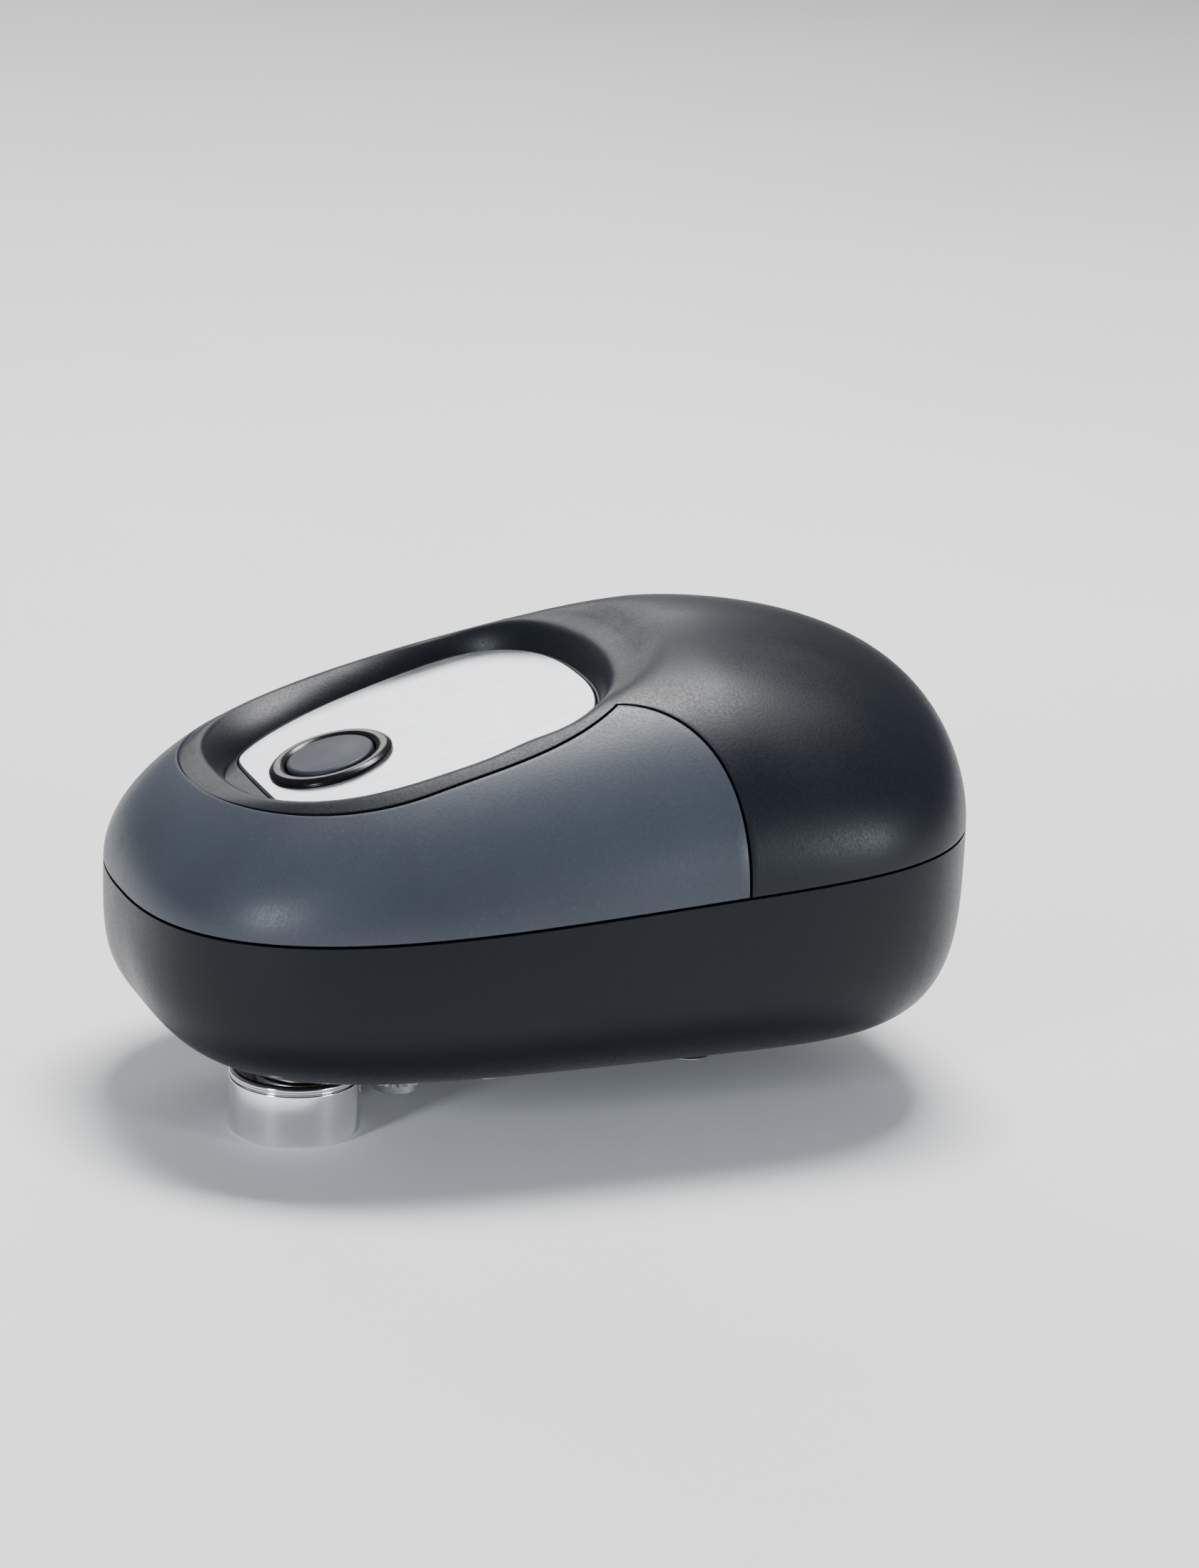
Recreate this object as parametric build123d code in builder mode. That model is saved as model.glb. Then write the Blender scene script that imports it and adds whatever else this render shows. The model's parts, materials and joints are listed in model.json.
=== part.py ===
"""Battery can opener that sits on a tin and walks round its rim by itself.

The row frame has +X towards the tail, the nose at -X, +Z up, and its origin on the
floor below the middle of the body, at the height of the cutter wheel's lowest point.
"""

from build123d import *
import os
from math import acos, copysign, cos, degrees, atan2, hypot, pi, radians, sin, tan

os.makedirs("parts", exist_ok=True)

# ---------------------------------------------------------------- driving dimensions
LENGTH = 120.0
WIDTH = 80.0
BODY_HEIGHT = 57.7  # from the underside to the top of the hump
BASE_Z = 9.5  # how far the cutter wheel reaches below the underside
WALL = 2.0
FLOOR = 2.2
NOSE_RELIEF = 0.3  # the underside's nose is this much higher, to clear the tin's rim
NOSE_RELIEF_END = -15.0
SEAM_HEIGHT = 26.6  # seam between base and covers, above the underside at mid-length
SEAM_SLOPE = 0.065
SEAM_GAP = 0.4
LAP = 1.4  # thickness of the hidden lips behind the seams
LIP_CLEARANCE = 0.3  # from the lips to whatever stands behind them
BROADEST_X = 9.2
HUMP_X = 18.2

# Superellipse powers of the body: plan, top line, underside line and cross-sections
PLAN_NOSE = (3.4, 2.48)
PLAN_TAIL = (4.2, 2.55)
TOP_NOSE = (1.94, 2.14)
TOP_TAIL = (1.5, 3.0)
BELLY_NOSE = (8.3, 3.05)
BELLY_TAIL = (5.4, 3.1)
UPPER_POWER = 1.96
LOWER_POWER = 4.0
BELLY_EXTRA = 1.0  # the underside line runs this far below the flat underside
STATIONS = 21
SECTION_POINTS = 48
EGG_POINTS = 28
TALL = 90.0

# Deck: the tilted plane of the metal plate, measured from the button's centre
BUTTON_X = -29.9
DECK_HEIGHT = 38.9
DECK_TILT = 16.0
DECK_THICKNESS = 2.2
PLATE_THICKNESS = 1.0
PLATE_PROUD = 0.2
PLATE_FRONT = -10.7
LIP_X = -10.0
LIP_HEIGHT = 48.3
LIP_TILT = 14.7
BUTTON_RADIUS = 6.2
BOARD_LEVEL = -11.9  # upper face of the switch board, from the deck
BOARD_THICKNESS = 1.4
BOARD_SCREW_HEAD = 1.2
BOARD_SCREW_SPOTS = [(0, 10.5), (0, -10.5)]
SPACER_LEVEL = -PLATE_PROUD - DECK_THICKNESS - 8.0
RING_RADIUS = 8.8
SLEEVE_RADIUS = 7.9

# Cutter, drive and gears
ROLLER_RADIUS = 9.2
OPEN_CUTTER = (-38.5, -13.0)
DRIVE_DIRECTION = 20.0  # degrees, from the cutter to the drive wheel
ECCENTRICITY = 1.5
RIM_GAP = 1.3  # between cutter and drive wheel when closed
DRIVE_WHEEL_RADIUS = 4.4
SHAFT_RADIUS = 2.5
AXLE_RADIUS = 1.25
RUNNING = 0.05
PRESSURE_ANGLE = 20.0
BACKLASH = 0.06
TOOTH_SHIFT = 0.4  # added to each pinion and taken from each wheel, in modules
MOTOR_SPOT = (13.0, 0.0)
MAGNET_SPOT = (10.0, 12.0)

# Heights above the underside: bottom and top of each layer of the gearbox
CHASSIS_LEVEL = (2.2, 3.7)
CLUTCH_LEVEL = (4.3, 7.3)
SECOND_WHEEL_LEVEL = (6.4, 8.4)
OUTPUT_LEVEL = (9.8, 12.8)
FIRST_WHEEL_LEVEL = (9.8, 11.4)
THIRD_WHEEL_LEVEL = (13.4, 15.6)
GEARBOX_LEVEL = (16.2, 17.8)
MOTOR_LENGTH = 24.5
MOTOR_WIDTH = 20.4
MOTOR_DEPTH = 15.4
MOTOR_SCREW_SPOTS = [(8.5, 6.5), (17.5, -6.5)]

# Battery bay
CELL_RADIUS = 7.25
CELL_LENGTH = 50.5
CELL_XS = (29.5, 44.25)
CELL_HEIGHTS = (13.9, 28.8)
BAY_FRONT = 22.1
BAY_REAR = 51.9
BAY_HALF_WIDTH = 28.4
BAY_TOP = 36.4
BAY_WALL = 1.0
DOOR_GAP = 0.35
DOOR_HALF_WIDTH = BAY_HALF_WIDTH - 2.0
DOOR_CORNER = 6.0

STANDOFF_SPOTS = [(-36.5, 6.5), (-2.0, -24.0), (18.3, -18.0), (-2.0, 22.0)]
SCREW_SPOTS = [(-15.0, -24.3), (-30.0, 21.0), (15.0, 25.0), (15.0, -25.0)]
TOWER_TOP = 20.0

STAND = (Align.CENTER, Align.CENTER, Align.MIN)
NOSEWARDS = (Align.MAX, Align.CENTER, Align.CENTER)


# ---------------------------------------------------------------- shared geometry
def towards(spot, angle, distance):
    """The point at a distance from a spot, in a direction in the plan."""
    return (spot[0] + distance * cos(radians(angle)), spot[1] + distance * sin(radians(angle)))


def direction(start, end):
    """The direction in the plan from one spot to another, in degrees."""
    return degrees(atan2(end[1] - start[1], end[0] - start[0]))


def tilted(x, height, tilt):
    """A plane that rises towards the tail, its own X along the body's length."""
    slope = radians(tilt)
    along = (cos(slope), 0, sin(slope))
    return Plane((x, 0, BASE_Z + height), x_dir=along, z_dir=(-sin(slope), 0, cos(slope)))


def cylinder(spot, radius, low, high, mode=Mode.ADD):
    """An upright cylinder between two heights above the underside."""
    with Locations((spot[0], spot[1], BASE_Z + low)):
        Cylinder(radius, high - low, align=STAND, mode=mode)


def bulge(t, powers):
    """Superellipse profile: 1 at t = 0, falling to 0 at t = 1."""
    return max(1 - abs(t) ** powers[0], 0) ** (1 / powers[1])


def seam_z(x):
    return BASE_Z + SEAM_HEIGHT + SEAM_SLOPE * x


def section_points(x, inset):
    """Points round the body's cross-section at x, moved in by inset."""
    half_length = LENGTH / 2 - inset
    from_broadest = abs(x - BROADEST_X) / (half_length + copysign(BROADEST_X, BROADEST_X - x))
    from_hump = abs(x - HUMP_X) / (half_length + copysign(HUMP_X, HUMP_X - x))
    in_front = x < BROADEST_X
    half_width = (WIDTH / 2 - inset) * bulge(from_broadest, PLAN_NOSE if in_front else PLAN_TAIL)
    crown = BODY_HEIGHT - SEAM_HEIGHT - SEAM_SLOPE * HUMP_X - inset
    crown *= bulge(from_hump, TOP_NOSE if x < HUMP_X else TOP_TAIL)
    belly = seam_z(x) - BASE_Z + BELLY_EXTRA - inset
    belly *= bulge(from_broadest, BELLY_NOSE if in_front else BELLY_TAIL)
    points = []
    for i in range(SECTION_POINTS):
        turn = 2 * pi * i / SECTION_POINTS - pi / 2
        power = UPPER_POWER if sin(turn) > 0 else LOWER_POWER
        reach = crown if sin(turn) > 0 else belly
        y = half_width * copysign(abs(cos(turn)) ** (2 / power), cos(turn))
        z = seam_z(x) + reach * copysign(abs(sin(turn)) ** (2 / power), sin(turn))
        points.append((y, z))
    return points


def closed_curve(points, spaced_like):
    """A smooth closed curve through points, its parameters following the spacing of others."""
    parameters = [0.0]
    for start, end in zip(spaced_like, spaced_like[1:] + spaced_like[:1]):
        parameters.append(parameters[-1] + hypot(end[0] - start[0], end[1] - start[1]))
    return Edge.make_spline([Vector(*point) for point in points], periodic=True, parameters=parameters)


def pod(inset):
    """The body's smooth outer form, or a smaller one inside it."""
    half_length = LENGTH / 2 - inset
    with BuildPart() as solid:
        for i in range(1, STATIONS + 1):
            x = -half_length * cos(pi * i / (STATIONS + 1))
            with BuildSketch(Plane.YZ.offset(x)):
                with BuildLine():
                    add(closed_curve(section_points(x, inset), section_points(BROADEST_X, inset)))
                make_face()
        nose = Vertex(-half_length, 0, seam_z(-half_length))
        tail = Vertex(half_length, 0, seam_z(half_length))
        loft(sections=[nose] + list(solid.pending_faces) + [tail])
    return solid.part


def egg_points(front, rear, broadest, half_width, nose_power, tail_power):
    """Points round an egg-shaped outline that lies along X."""
    points = []
    for i in range(EGG_POINTS):
        turn = 2 * pi * i / EGG_POINTS
        behind = cos(turn) > 0
        power = tail_power if behind else nose_power
        reach = rear - broadest if behind else broadest - front
        x = broadest + reach * copysign(abs(cos(turn)) ** (2 / power), cos(turn))
        y = half_width * copysign(abs(sin(turn)) ** (2 / power), sin(turn))
        points.append((x, y))
    return points


def collar_egg(margin):
    """Outline of the dark collar round the dish, seen from above."""
    return egg_points(-50.2 - margin, 12.0 + margin, -24.0, 27.5 + margin, 2.15, 2.78)


def rear_region(margin):
    """Plan of what belongs to the top casing: the collar and everything behind the side split."""
    with BuildSketch() as region:
        with Locations((35, 0)):
            Rectangle(70, 84)
        with Locations((0, 42), (0, -42)):
            Ellipse(17.2 - margin, 20.5 - margin, mode=Mode.SUBTRACT)
        with BuildLine():
            Spline(*collar_egg(margin), periodic=True)
        make_face()
    return region.sketch


def plate_region(margin):
    """Outline of the metal plate on the deck's plane: an egg with its front cut straight."""
    rim = egg_points(-16.0 - margin, 37.2 + margin, 21.0, 21.8 + margin, 2.2, 2.45)
    with BuildSketch() as region:
        with BuildLine():
            Spline(*rim, periodic=True)
        make_face()
        split(bisect_by=Plane.YZ.offset(PLATE_FRONT - margin), keep=Keep.TOP)
        fillet(region.vertices().group_by(Axis.X)[0], 2.2 + margin)
    return region.sketch


def door_block(gap):
    """Block through the floor with the battery door's outline, grown by a gap."""
    length = BAY_REAR - BAY_FRONT
    with BuildPart() as block:
        with BuildSketch(UNDERSIDE.offset(-1)):
            with Locations(((BAY_FRONT + BAY_REAR) / 2, 0)):
                RectangleRounded(length + 2 * gap, 2 * (DOOR_HALF_WIDTH + gap), DOOR_CORNER + gap)
        extrude(amount=12)
    return block.part


def gear_points(teeth, module, shift, angle):
    """Outline of a spur gear with involute flanks, with a tooth centred on angle."""
    pitch_radius = teeth * module / 2
    base_radius = pitch_radius * cos(radians(PRESSURE_ANGLE))
    root_radius = pitch_radius - module * (1.25 - shift)
    tip_radius = pitch_radius + module * (0.95 + shift)
    half_tooth = pi / (2 * teeth) + 2 * shift * tan(radians(PRESSURE_ANGLE)) / teeth
    half_tooth -= BACKLASH / (2 * pitch_radius)
    pitch_involute = tan(radians(PRESSURE_ANGLE)) - radians(PRESSURE_ANGLE)
    start_radius = max(base_radius, root_radius)
    flank = [] if root_radius >= base_radius else [(root_radius, half_tooth + pitch_involute)]
    for i in range(4):
        radius = start_radius + (tip_radius - start_radius) * i / 3
        roll = acos(min(base_radius / radius, 1))
        flank.append((radius, half_tooth + pitch_involute - tan(roll) + roll))
    points = []
    for tooth in range(teeth):
        middle = radians(angle) + 2 * pi * tooth / teeth
        for radius, half in flank:
            points.append((radius * cos(middle - half), radius * sin(middle - half)))
        for radius, half in reversed(flank):
            points.append((radius * cos(middle + half), radius * sin(middle + half)))
    return points


def gear_face(spot, level, teeth, module, shift, angle, bore):
    """A gear's face on the plane of its lower side."""
    with BuildSketch(Plane((spot[0], spot[1], BASE_Z + level[0]))) as face:
        with BuildLine():
            Polyline(*gear_points(teeth, module, shift, angle), close=True)
        make_face()
        Circle(bore, mode=Mode.SUBTRACT)
    return face.sketch


def meshed_angle(angle, teeth, other_teeth, heading):
    """Where the other gear needs a tooth, so that it is in mesh with this one along heading."""
    phase = (heading - angle) / (360 / teeth)
    return heading + 180 - (0.5 - phase) * 360 / other_teeth


def coil(centre, axis, radius, wire, length, turns):
    """A helical spring from centre, along axis."""
    with BuildPart() as spring:
        with BuildLine() as line:
            Helix(pitch=length / turns, height=length, radius=radius, center=centre, direction=axis)
        with BuildSketch(Plane(line.line @ 0, z_dir=line.line % 0)):
            Circle(wire / 2)
        sweep()
    return spring.part


DECK = tilted(BUTTON_X, DECK_HEIGHT, DECK_TILT)
DECK_AXIS = Axis(DECK.origin, DECK.z_dir)
LIP = tilted(LIP_X, LIP_HEIGHT, LIP_TILT)
SEAM = Plane((0, 0, seam_z(0)), x_dir=(1, 0, SEAM_SLOPE), z_dir=(-SEAM_SLOPE, 0, 1))
UNDERSIDE = Plane.XY.offset(BASE_Z)

CARRIER_SPOT = towards(OPEN_CUTTER, DRIVE_DIRECTION, ECCENTRICITY)
CLOSED_CUTTER = towards(OPEN_CUTTER, DRIVE_DIRECTION, 2 * ECCENTRICITY)
DRIVE_SPOT = towards(CLOSED_CUTTER, DRIVE_DIRECTION, ROLLER_RADIUS + RIM_GAP + DRIVE_WHEEL_RADIUS)
FIRST_SPOT = towards(MOTOR_SPOT, 250, 10.0)
SECOND_SPOT = towards(FIRST_SPOT, 165, 12.0)
THIRD_TO_DRIVE = 19.2
THIRD_TO_SECOND = 14.4
SPAN = hypot(SECOND_SPOT[0] - DRIVE_SPOT[0], SECOND_SPOT[1] - DRIVE_SPOT[1])
THIRD_COSINE = (THIRD_TO_DRIVE**2 + SPAN**2 - THIRD_TO_SECOND**2) / (2 * THIRD_TO_DRIVE * SPAN)
THIRD_SWING = degrees(acos(THIRD_COSINE))
THIRD_SPOT = towards(DRIVE_SPOT, direction(DRIVE_SPOT, SECOND_SPOT) + THIRD_SWING, THIRD_TO_DRIVE)
AXLE_SPOTS = [FIRST_SPOT, SECOND_SPOT, THIRD_SPOT]

outer_pod = pod(0)
inner_pod = pod(WALL)
lap_pod = pod(WALL + LAP)
root_pod = pod(WALL / 2)  # pieces inside the shell reach out to here, to merge with it
lip_pod = pod(WALL + RUNNING)

with BuildPart() as collar_block:
    with BuildSketch():
        with BuildLine():
            Spline(*collar_egg(0), periodic=True)
        make_face()
    extrude(amount=TALL)
    add(outer_pod, mode=Mode.INTERSECT)
    split(bisect_by=DECK.offset(-PLATE_PROUD - DECK_THICKNESS), keep=Keep.TOP)

with BuildPart() as collar_cut:
    with BuildSketch(LIP):
        with BuildLine():
            Spline(*egg_points(-44.0, 22.6, -13.0, 28.5, 2.15, 2.6), periodic=True)
        make_face()
    with BuildSketch(LIP.offset(9)):
        with BuildLine():
            Spline(*egg_points(-64.0, 40.0, -13.0, 44.0, 2.15, 2.6), periodic=True)
        make_face()
    loft()

with BuildPart() as dish_cut:
    with BuildSketch(DECK.offset(-PLATE_PROUD)):
        with BuildLine():
            Spline(*egg_points(-14.4, 37.6, 20.5, 22.2, 2.5, 2.45), periodic=True)
        make_face()
    with BuildSketch(LIP.offset(0.01)):
        with BuildLine():
            Spline(*egg_points(-37.2, 18.5, -9.6, 24.8, 2.7, 2.0), periodic=True)
        make_face()
    loft()

with BuildPart() as lap_root:
    extrude(rear_region(-0.3), amount=TALL)
    extrude(rear_region(-3), amount=TALL, mode=Mode.SUBTRACT)
    add(root_pod, mode=Mode.INTERSECT)
    add(lap_pod, mode=Mode.SUBTRACT)
    split(bisect_by=SEAM.offset(3.0), keep=Keep.TOP)

with BuildPart() as lap_flange:
    extrude(rear_region(3), amount=TALL)
    extrude(rear_region(-2), amount=TALL, mode=Mode.SUBTRACT)
    add(lip_pod, mode=Mode.INTERSECT)
    add(lap_pod, mode=Mode.SUBTRACT)
    split(bisect_by=SEAM.offset(3.0), keep=Keep.TOP)

with BuildPart() as upper_bosses:
    for spot in SCREW_SPOTS:
        cylinder(spot, 2.8, TOWER_TOP, TALL)
    add(root_pod, mode=Mode.INTERSECT)

# ---------------------------------------------------------------- casing
with BuildPart() as top_casing:
    add(outer_pod)
    add(inner_pod, mode=Mode.SUBTRACT)
    split(bisect_by=SEAM.offset(SEAM_GAP / 2), keep=Keep.TOP)
    extrude(rear_region(0), amount=TALL, mode=Mode.INTERSECT)
    add(collar_block.part)
    add(lap_root.part)
    add(lap_flange.part)
    add(upper_bosses.part)
    add(collar_cut.part, mode=Mode.SUBTRACT)
    add(dish_cut.part, mode=Mode.SUBTRACT)
    with BuildSketch(DECK.offset(-PLATE_THICKNESS)):
        add(plate_region(0.15))
    extrude(amount=PLATE_THICKNESS + 0.1, mode=Mode.SUBTRACT)
    with BuildSketch(DECK.offset(-PLATE_PROUD - DECK_THICKNESS)):
        with Locations(*BOARD_SCREW_SPOTS):
            Circle(2.2)
    extrude(amount=-8.0)
    with BuildSketch(DECK.offset(-12)):
        with Locations(*BOARD_SCREW_SPOTS):
            Circle(1.0)
    extrude(amount=8.0, mode=Mode.SUBTRACT)
    with BuildSketch(DECK.offset(-6)):
        Circle(SLEEVE_RADIUS + RUNNING)
    extrude(amount=8, mode=Mode.SUBTRACT)
    for spot in SCREW_SPOTS:
        cylinder(spot, 1.5, TOWER_TOP - 1, TOWER_TOP + 8, mode=Mode.SUBTRACT)
top_casing.part.label = "top_casing"
export_step(top_casing.part, "parts/top_casing.step")

with BuildPart() as front_cover:
    add(outer_pod)
    add(inner_pod, mode=Mode.SUBTRACT)
    split(bisect_by=SEAM.offset(SEAM_GAP / 2), keep=Keep.TOP)
    extrude(rear_region(SEAM_GAP), amount=TALL, mode=Mode.SUBTRACT)
front_cover.part.label = "front_cover"
export_step(front_cover.part, "parts/front_cover.step")

with BuildPart() as low_cavity:
    add(inner_pod)
    split(bisect_by=UNDERSIDE.offset(FLOOR), keep=Keep.TOP)
    split(bisect_by=SEAM.offset(-3.5), keep=Keep.BOTTOM)

with BuildPart() as high_cavity:
    add(lap_pod)
    split(bisect_by=SEAM.offset(-3.6), keep=Keep.TOP)

with BuildPart() as base_shell:
    add(outer_pod)
    split(bisect_by=UNDERSIDE, keep=Keep.TOP)
    split(bisect_by=SEAM.offset(-SEAM_GAP / 2), keep=Keep.BOTTOM)
    with Locations((NOSE_RELIEF_END, 0, BASE_Z)):
        Box(LENGTH, WIDTH + 2, 2 * NOSE_RELIEF, align=NOSEWARDS, mode=Mode.SUBTRACT)
    add(low_cavity.part, mode=Mode.SUBTRACT)
    add(high_cavity.part, mode=Mode.SUBTRACT)

with BuildPart() as seam_lip:
    add(lip_pod)
    split(bisect_by=SEAM.offset(2.2), keep=Keep.BOTTOM)
    split(bisect_by=SEAM.offset(-SEAM_GAP / 2), keep=Keep.TOP)
    add(lap_pod, mode=Mode.SUBTRACT)

with BuildPart() as bay_limit:
    add(root_pod)
    split(bisect_by=SEAM.offset(-3.0), keep=Keep.BOTTOM)
    add(pod(WALL + LAP + LIP_CLEARANCE))

with BuildPart() as bay_walls:
    with BuildSketch(UNDERSIDE.offset(FLOOR)):
        with Locations(((BAY_FRONT + BAY_REAR) / 2, 0)):
            Rectangle(BAY_REAR - BAY_FRONT + 2 * BAY_WALL, 2 * (BAY_HALF_WIDTH + BAY_WALL))
    extrude(amount=BAY_TOP + BAY_WALL - FLOOR)
    with BuildSketch(UNDERSIDE):
        with Locations(((BAY_FRONT + BAY_REAR) / 2, 0)):
            Rectangle(BAY_REAR - BAY_FRONT, 2 * BAY_HALF_WIDTH)
    extrude(amount=BAY_TOP, mode=Mode.SUBTRACT)
    add(bay_limit.part, mode=Mode.INTERSECT)

with BuildPart() as base_casing:
    add(base_shell.part)
    add(seam_lip.part)
    for spot in SCREW_SPOTS:
        cylinder(spot, 3.2, 0.5, TOWER_TOP)
    add(bay_walls.part)
    add(door_block(DOOR_GAP), mode=Mode.SUBTRACT)
    for spot in SCREW_SPOTS:
        cylinder(spot, 2.9, -1, 1.4, mode=Mode.SUBTRACT)
        cylinder(spot, 1.6, -1, TOWER_TOP + 1, mode=Mode.SUBTRACT)
    cylinder(DRIVE_SPOT, 4.5, -1, FLOOR + 1, mode=Mode.SUBTRACT)
    cylinder(CARRIER_SPOT, 7.2, -1, FLOOR + 1, mode=Mode.SUBTRACT)
    cylinder(MAGNET_SPOT, 7.6, -1, FLOOR + 1, mode=Mode.SUBTRACT)
    for spot in STANDOFF_SPOTS:
        cylinder(spot, AXLE_RADIUS, 1.0, FLOOR + 1, mode=Mode.SUBTRACT)
base_casing.part.label = "base_casing"
export_step(base_casing.part, "parts/base_casing.step")

with BuildPart() as battery_door:
    add(base_shell.part)
    add(door_block(0), mode=Mode.INTERSECT)
battery_door.part.label = "battery_door"
export_step(battery_door.part, "parts/battery_door.step")

with BuildPart() as casing_screws:
    for spot in SCREW_SPOTS:
        cylinder(spot, 2.6, 0.2, 1.4)
        cylinder(spot, 1.5, 1.4, TOWER_TOP + 7)
        with Locations((spot[0], spot[1], BASE_Z + 0.2)):
            Box(3.4, 0.7, 0.6, align=STAND, mode=Mode.SUBTRACT)
            Box(0.7, 3.4, 0.6, align=STAND, mode=Mode.SUBTRACT)
casing_screws.part.label = "casing_screws"
export_step(casing_screws.part, "parts/casing_screws.step")

# ---------------------------------------------------------------- deck and start button
with BuildPart() as top_plate:
    with BuildSketch(DECK.offset(-PLATE_THICKNESS)):
        add(plate_region(0))
    extrude(amount=PLATE_THICKNESS)
    with BuildSketch(DECK.offset(-PLATE_THICKNESS)):
        Circle(SLEEVE_RADIUS + RUNNING)
    extrude(amount=PLATE_THICKNESS, mode=Mode.SUBTRACT)
top_plate.part.label = "top_plate"
export_step(top_plate.part, "parts/top_plate.step")

with BuildPart() as button_ring:
    with BuildSketch(DECK.offset(-3.2)):
        Circle(SLEEVE_RADIUS)
        Circle(BUTTON_RADIUS + 0.3, mode=Mode.SUBTRACT)
    extrude(amount=3.2)
    with BuildSketch(DECK):
        Circle(RING_RADIUS)
        Circle(BUTTON_RADIUS + 0.3, mode=Mode.SUBTRACT)
    extrude(amount=1.0)
    chamfer(button_ring.faces().sort_by(DECK_AXIS)[-1].edges(), 0.45)
button_ring.part.label = "button_ring"
export_step(button_ring.part, "parts/button_ring.step")

with BuildPart() as start_button:
    with BuildSketch(DECK.offset(-5.0)):
        Circle(BUTTON_RADIUS + 1.1)
    extrude(amount=1.6)
    with BuildSketch(DECK.offset(-3.4)):
        Circle(BUTTON_RADIUS)
    extrude(amount=4.6)
    fillet(start_button.edges().sort_by(DECK_AXIS)[-1], 1.0)
    with BuildSketch(DECK.offset(-6.4)):
        Circle(2.0)
    extrude(amount=1.4)
start_button.part.label = "start_button"
export_step(start_button.part, "parts/start_button.step")

with BuildPart() as switch_plunger:
    with BuildSketch(DECK.offset(-9.0)):
        Circle(1.5)
    extrude(amount=2.6)
switch_plunger.part.label = "switch_plunger"
export_step(switch_plunger.part, "parts/switch_plunger.step")

with BuildPart() as tact_switch:
    with BuildSketch(DECK.offset(BOARD_LEVEL)):
        RectangleRounded(6.4, 6.4, 0.6)
    extrude(amount=3.6)
    with BuildSketch(DECK.offset(-11.0)):
        Circle(1.5 + RUNNING)
    extrude(amount=4, mode=Mode.SUBTRACT)
tact_switch.part.label = "tact_switch"
export_step(tact_switch.part, "parts/tact_switch.step")

with BuildPart() as switch_board:
    with BuildSketch(DECK.offset(BOARD_LEVEL)):
        RectangleRounded(16, 27, 1.5)
        with Locations(*BOARD_SCREW_SPOTS):
            Circle(1.0, mode=Mode.SUBTRACT)
    extrude(amount=-BOARD_THICKNESS)
    with BuildSketch(DECK.offset(BOARD_LEVEL)):
        with Locations(*BOARD_SCREW_SPOTS):
            Circle(2.2)
            Circle(1.0, mode=Mode.SUBTRACT)
    extrude(amount=SPACER_LEVEL - BOARD_LEVEL)
switch_board.part.label = "switch_board"
export_step(switch_board.part, "parts/switch_board.step")

with BuildPart() as board_screws:
    with BuildSketch(DECK.offset(BOARD_LEVEL - BOARD_THICKNESS - BOARD_SCREW_HEAD)):
        with Locations(*BOARD_SCREW_SPOTS):
            Circle(1.9)
    extrude(amount=BOARD_SCREW_HEAD)
    with BuildSketch(DECK.offset(BOARD_LEVEL - BOARD_THICKNESS)):
        with Locations(*BOARD_SCREW_SPOTS):
            Circle(1.0)
    extrude(amount=6.3)
board_screws.part.label = "board_screws"
export_step(board_screws.part, "parts/board_screws.step")

# ---------------------------------------------------------------- gearbox frame
with BuildPart() as chassis_plate:
    with BuildSketch(UNDERSIDE.offset(CHASSIS_LEVEL[0])):
        with Locations(*STANDOFF_SPOTS):
            Circle(2.8)
        with Locations(CARRIER_SPOT, DRIVE_SPOT):
            Circle(10.0)
        with Locations(MAGNET_SPOT):
            Circle(10.0)
        make_hull()
        with Locations(*SCREW_SPOTS):
            Circle(3.6, mode=Mode.SUBTRACT)
        with Locations(*STANDOFF_SPOTS, *AXLE_SPOTS):
            Circle(AXLE_RADIUS, mode=Mode.SUBTRACT)
        with Locations(DRIVE_SPOT):
            Circle(4.5, mode=Mode.SUBTRACT)
        with Locations(CARRIER_SPOT):
            Circle(7.2, mode=Mode.SUBTRACT)
        with Locations(MAGNET_SPOT):
            Circle(7.6, mode=Mode.SUBTRACT)
    extrude(amount=CHASSIS_LEVEL[1] - CHASSIS_LEVEL[0])
    add(pod(WALL + LIP_CLEARANCE), mode=Mode.INTERSECT)
chassis_plate.part.label = "chassis_plate"
export_step(chassis_plate.part, "parts/chassis_plate.step")

with BuildPart() as gearbox_plate:
    with BuildSketch(UNDERSIDE.offset(GEARBOX_LEVEL[0])):
        with Locations(*STANDOFF_SPOTS, MOTOR_SPOT):
            Circle(2.8)
        with Locations(DRIVE_SPOT, MAGNET_SPOT):
            Circle(8.0)
        with Locations((MOTOR_SPOT[0], 8.5), (MOTOR_SPOT[0], -8.5)):
            Circle(7.8)
        make_hull()
        with Locations(*SCREW_SPOTS):
            Circle(3.6, mode=Mode.SUBTRACT)
        with Locations(*STANDOFF_SPOTS, *AXLE_SPOTS):
            Circle(AXLE_RADIUS, mode=Mode.SUBTRACT)
        with Locations(DRIVE_SPOT):
            Circle(SHAFT_RADIUS + RUNNING, mode=Mode.SUBTRACT)
        with Locations(MOTOR_SPOT):
            Circle(3.1, mode=Mode.SUBTRACT)
        with Locations(*MOTOR_SCREW_SPOTS):
            Circle(1.0, mode=Mode.SUBTRACT)
    extrude(amount=GEARBOX_LEVEL[1] - GEARBOX_LEVEL[0])
gearbox_plate.part.label = "gearbox_plate"
export_step(gearbox_plate.part, "parts/gearbox_plate.step")

with BuildPart() as standoffs:
    for spot in STANDOFF_SPOTS:
        cylinder(spot, 2.5, CHASSIS_LEVEL[1], GEARBOX_LEVEL[0])
        cylinder(spot, AXLE_RADIUS, CHASSIS_LEVEL[1], GEARBOX_LEVEL[0], mode=Mode.SUBTRACT)
standoffs.part.label = "standoffs"
export_step(standoffs.part, "parts/standoffs.step")

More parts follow.
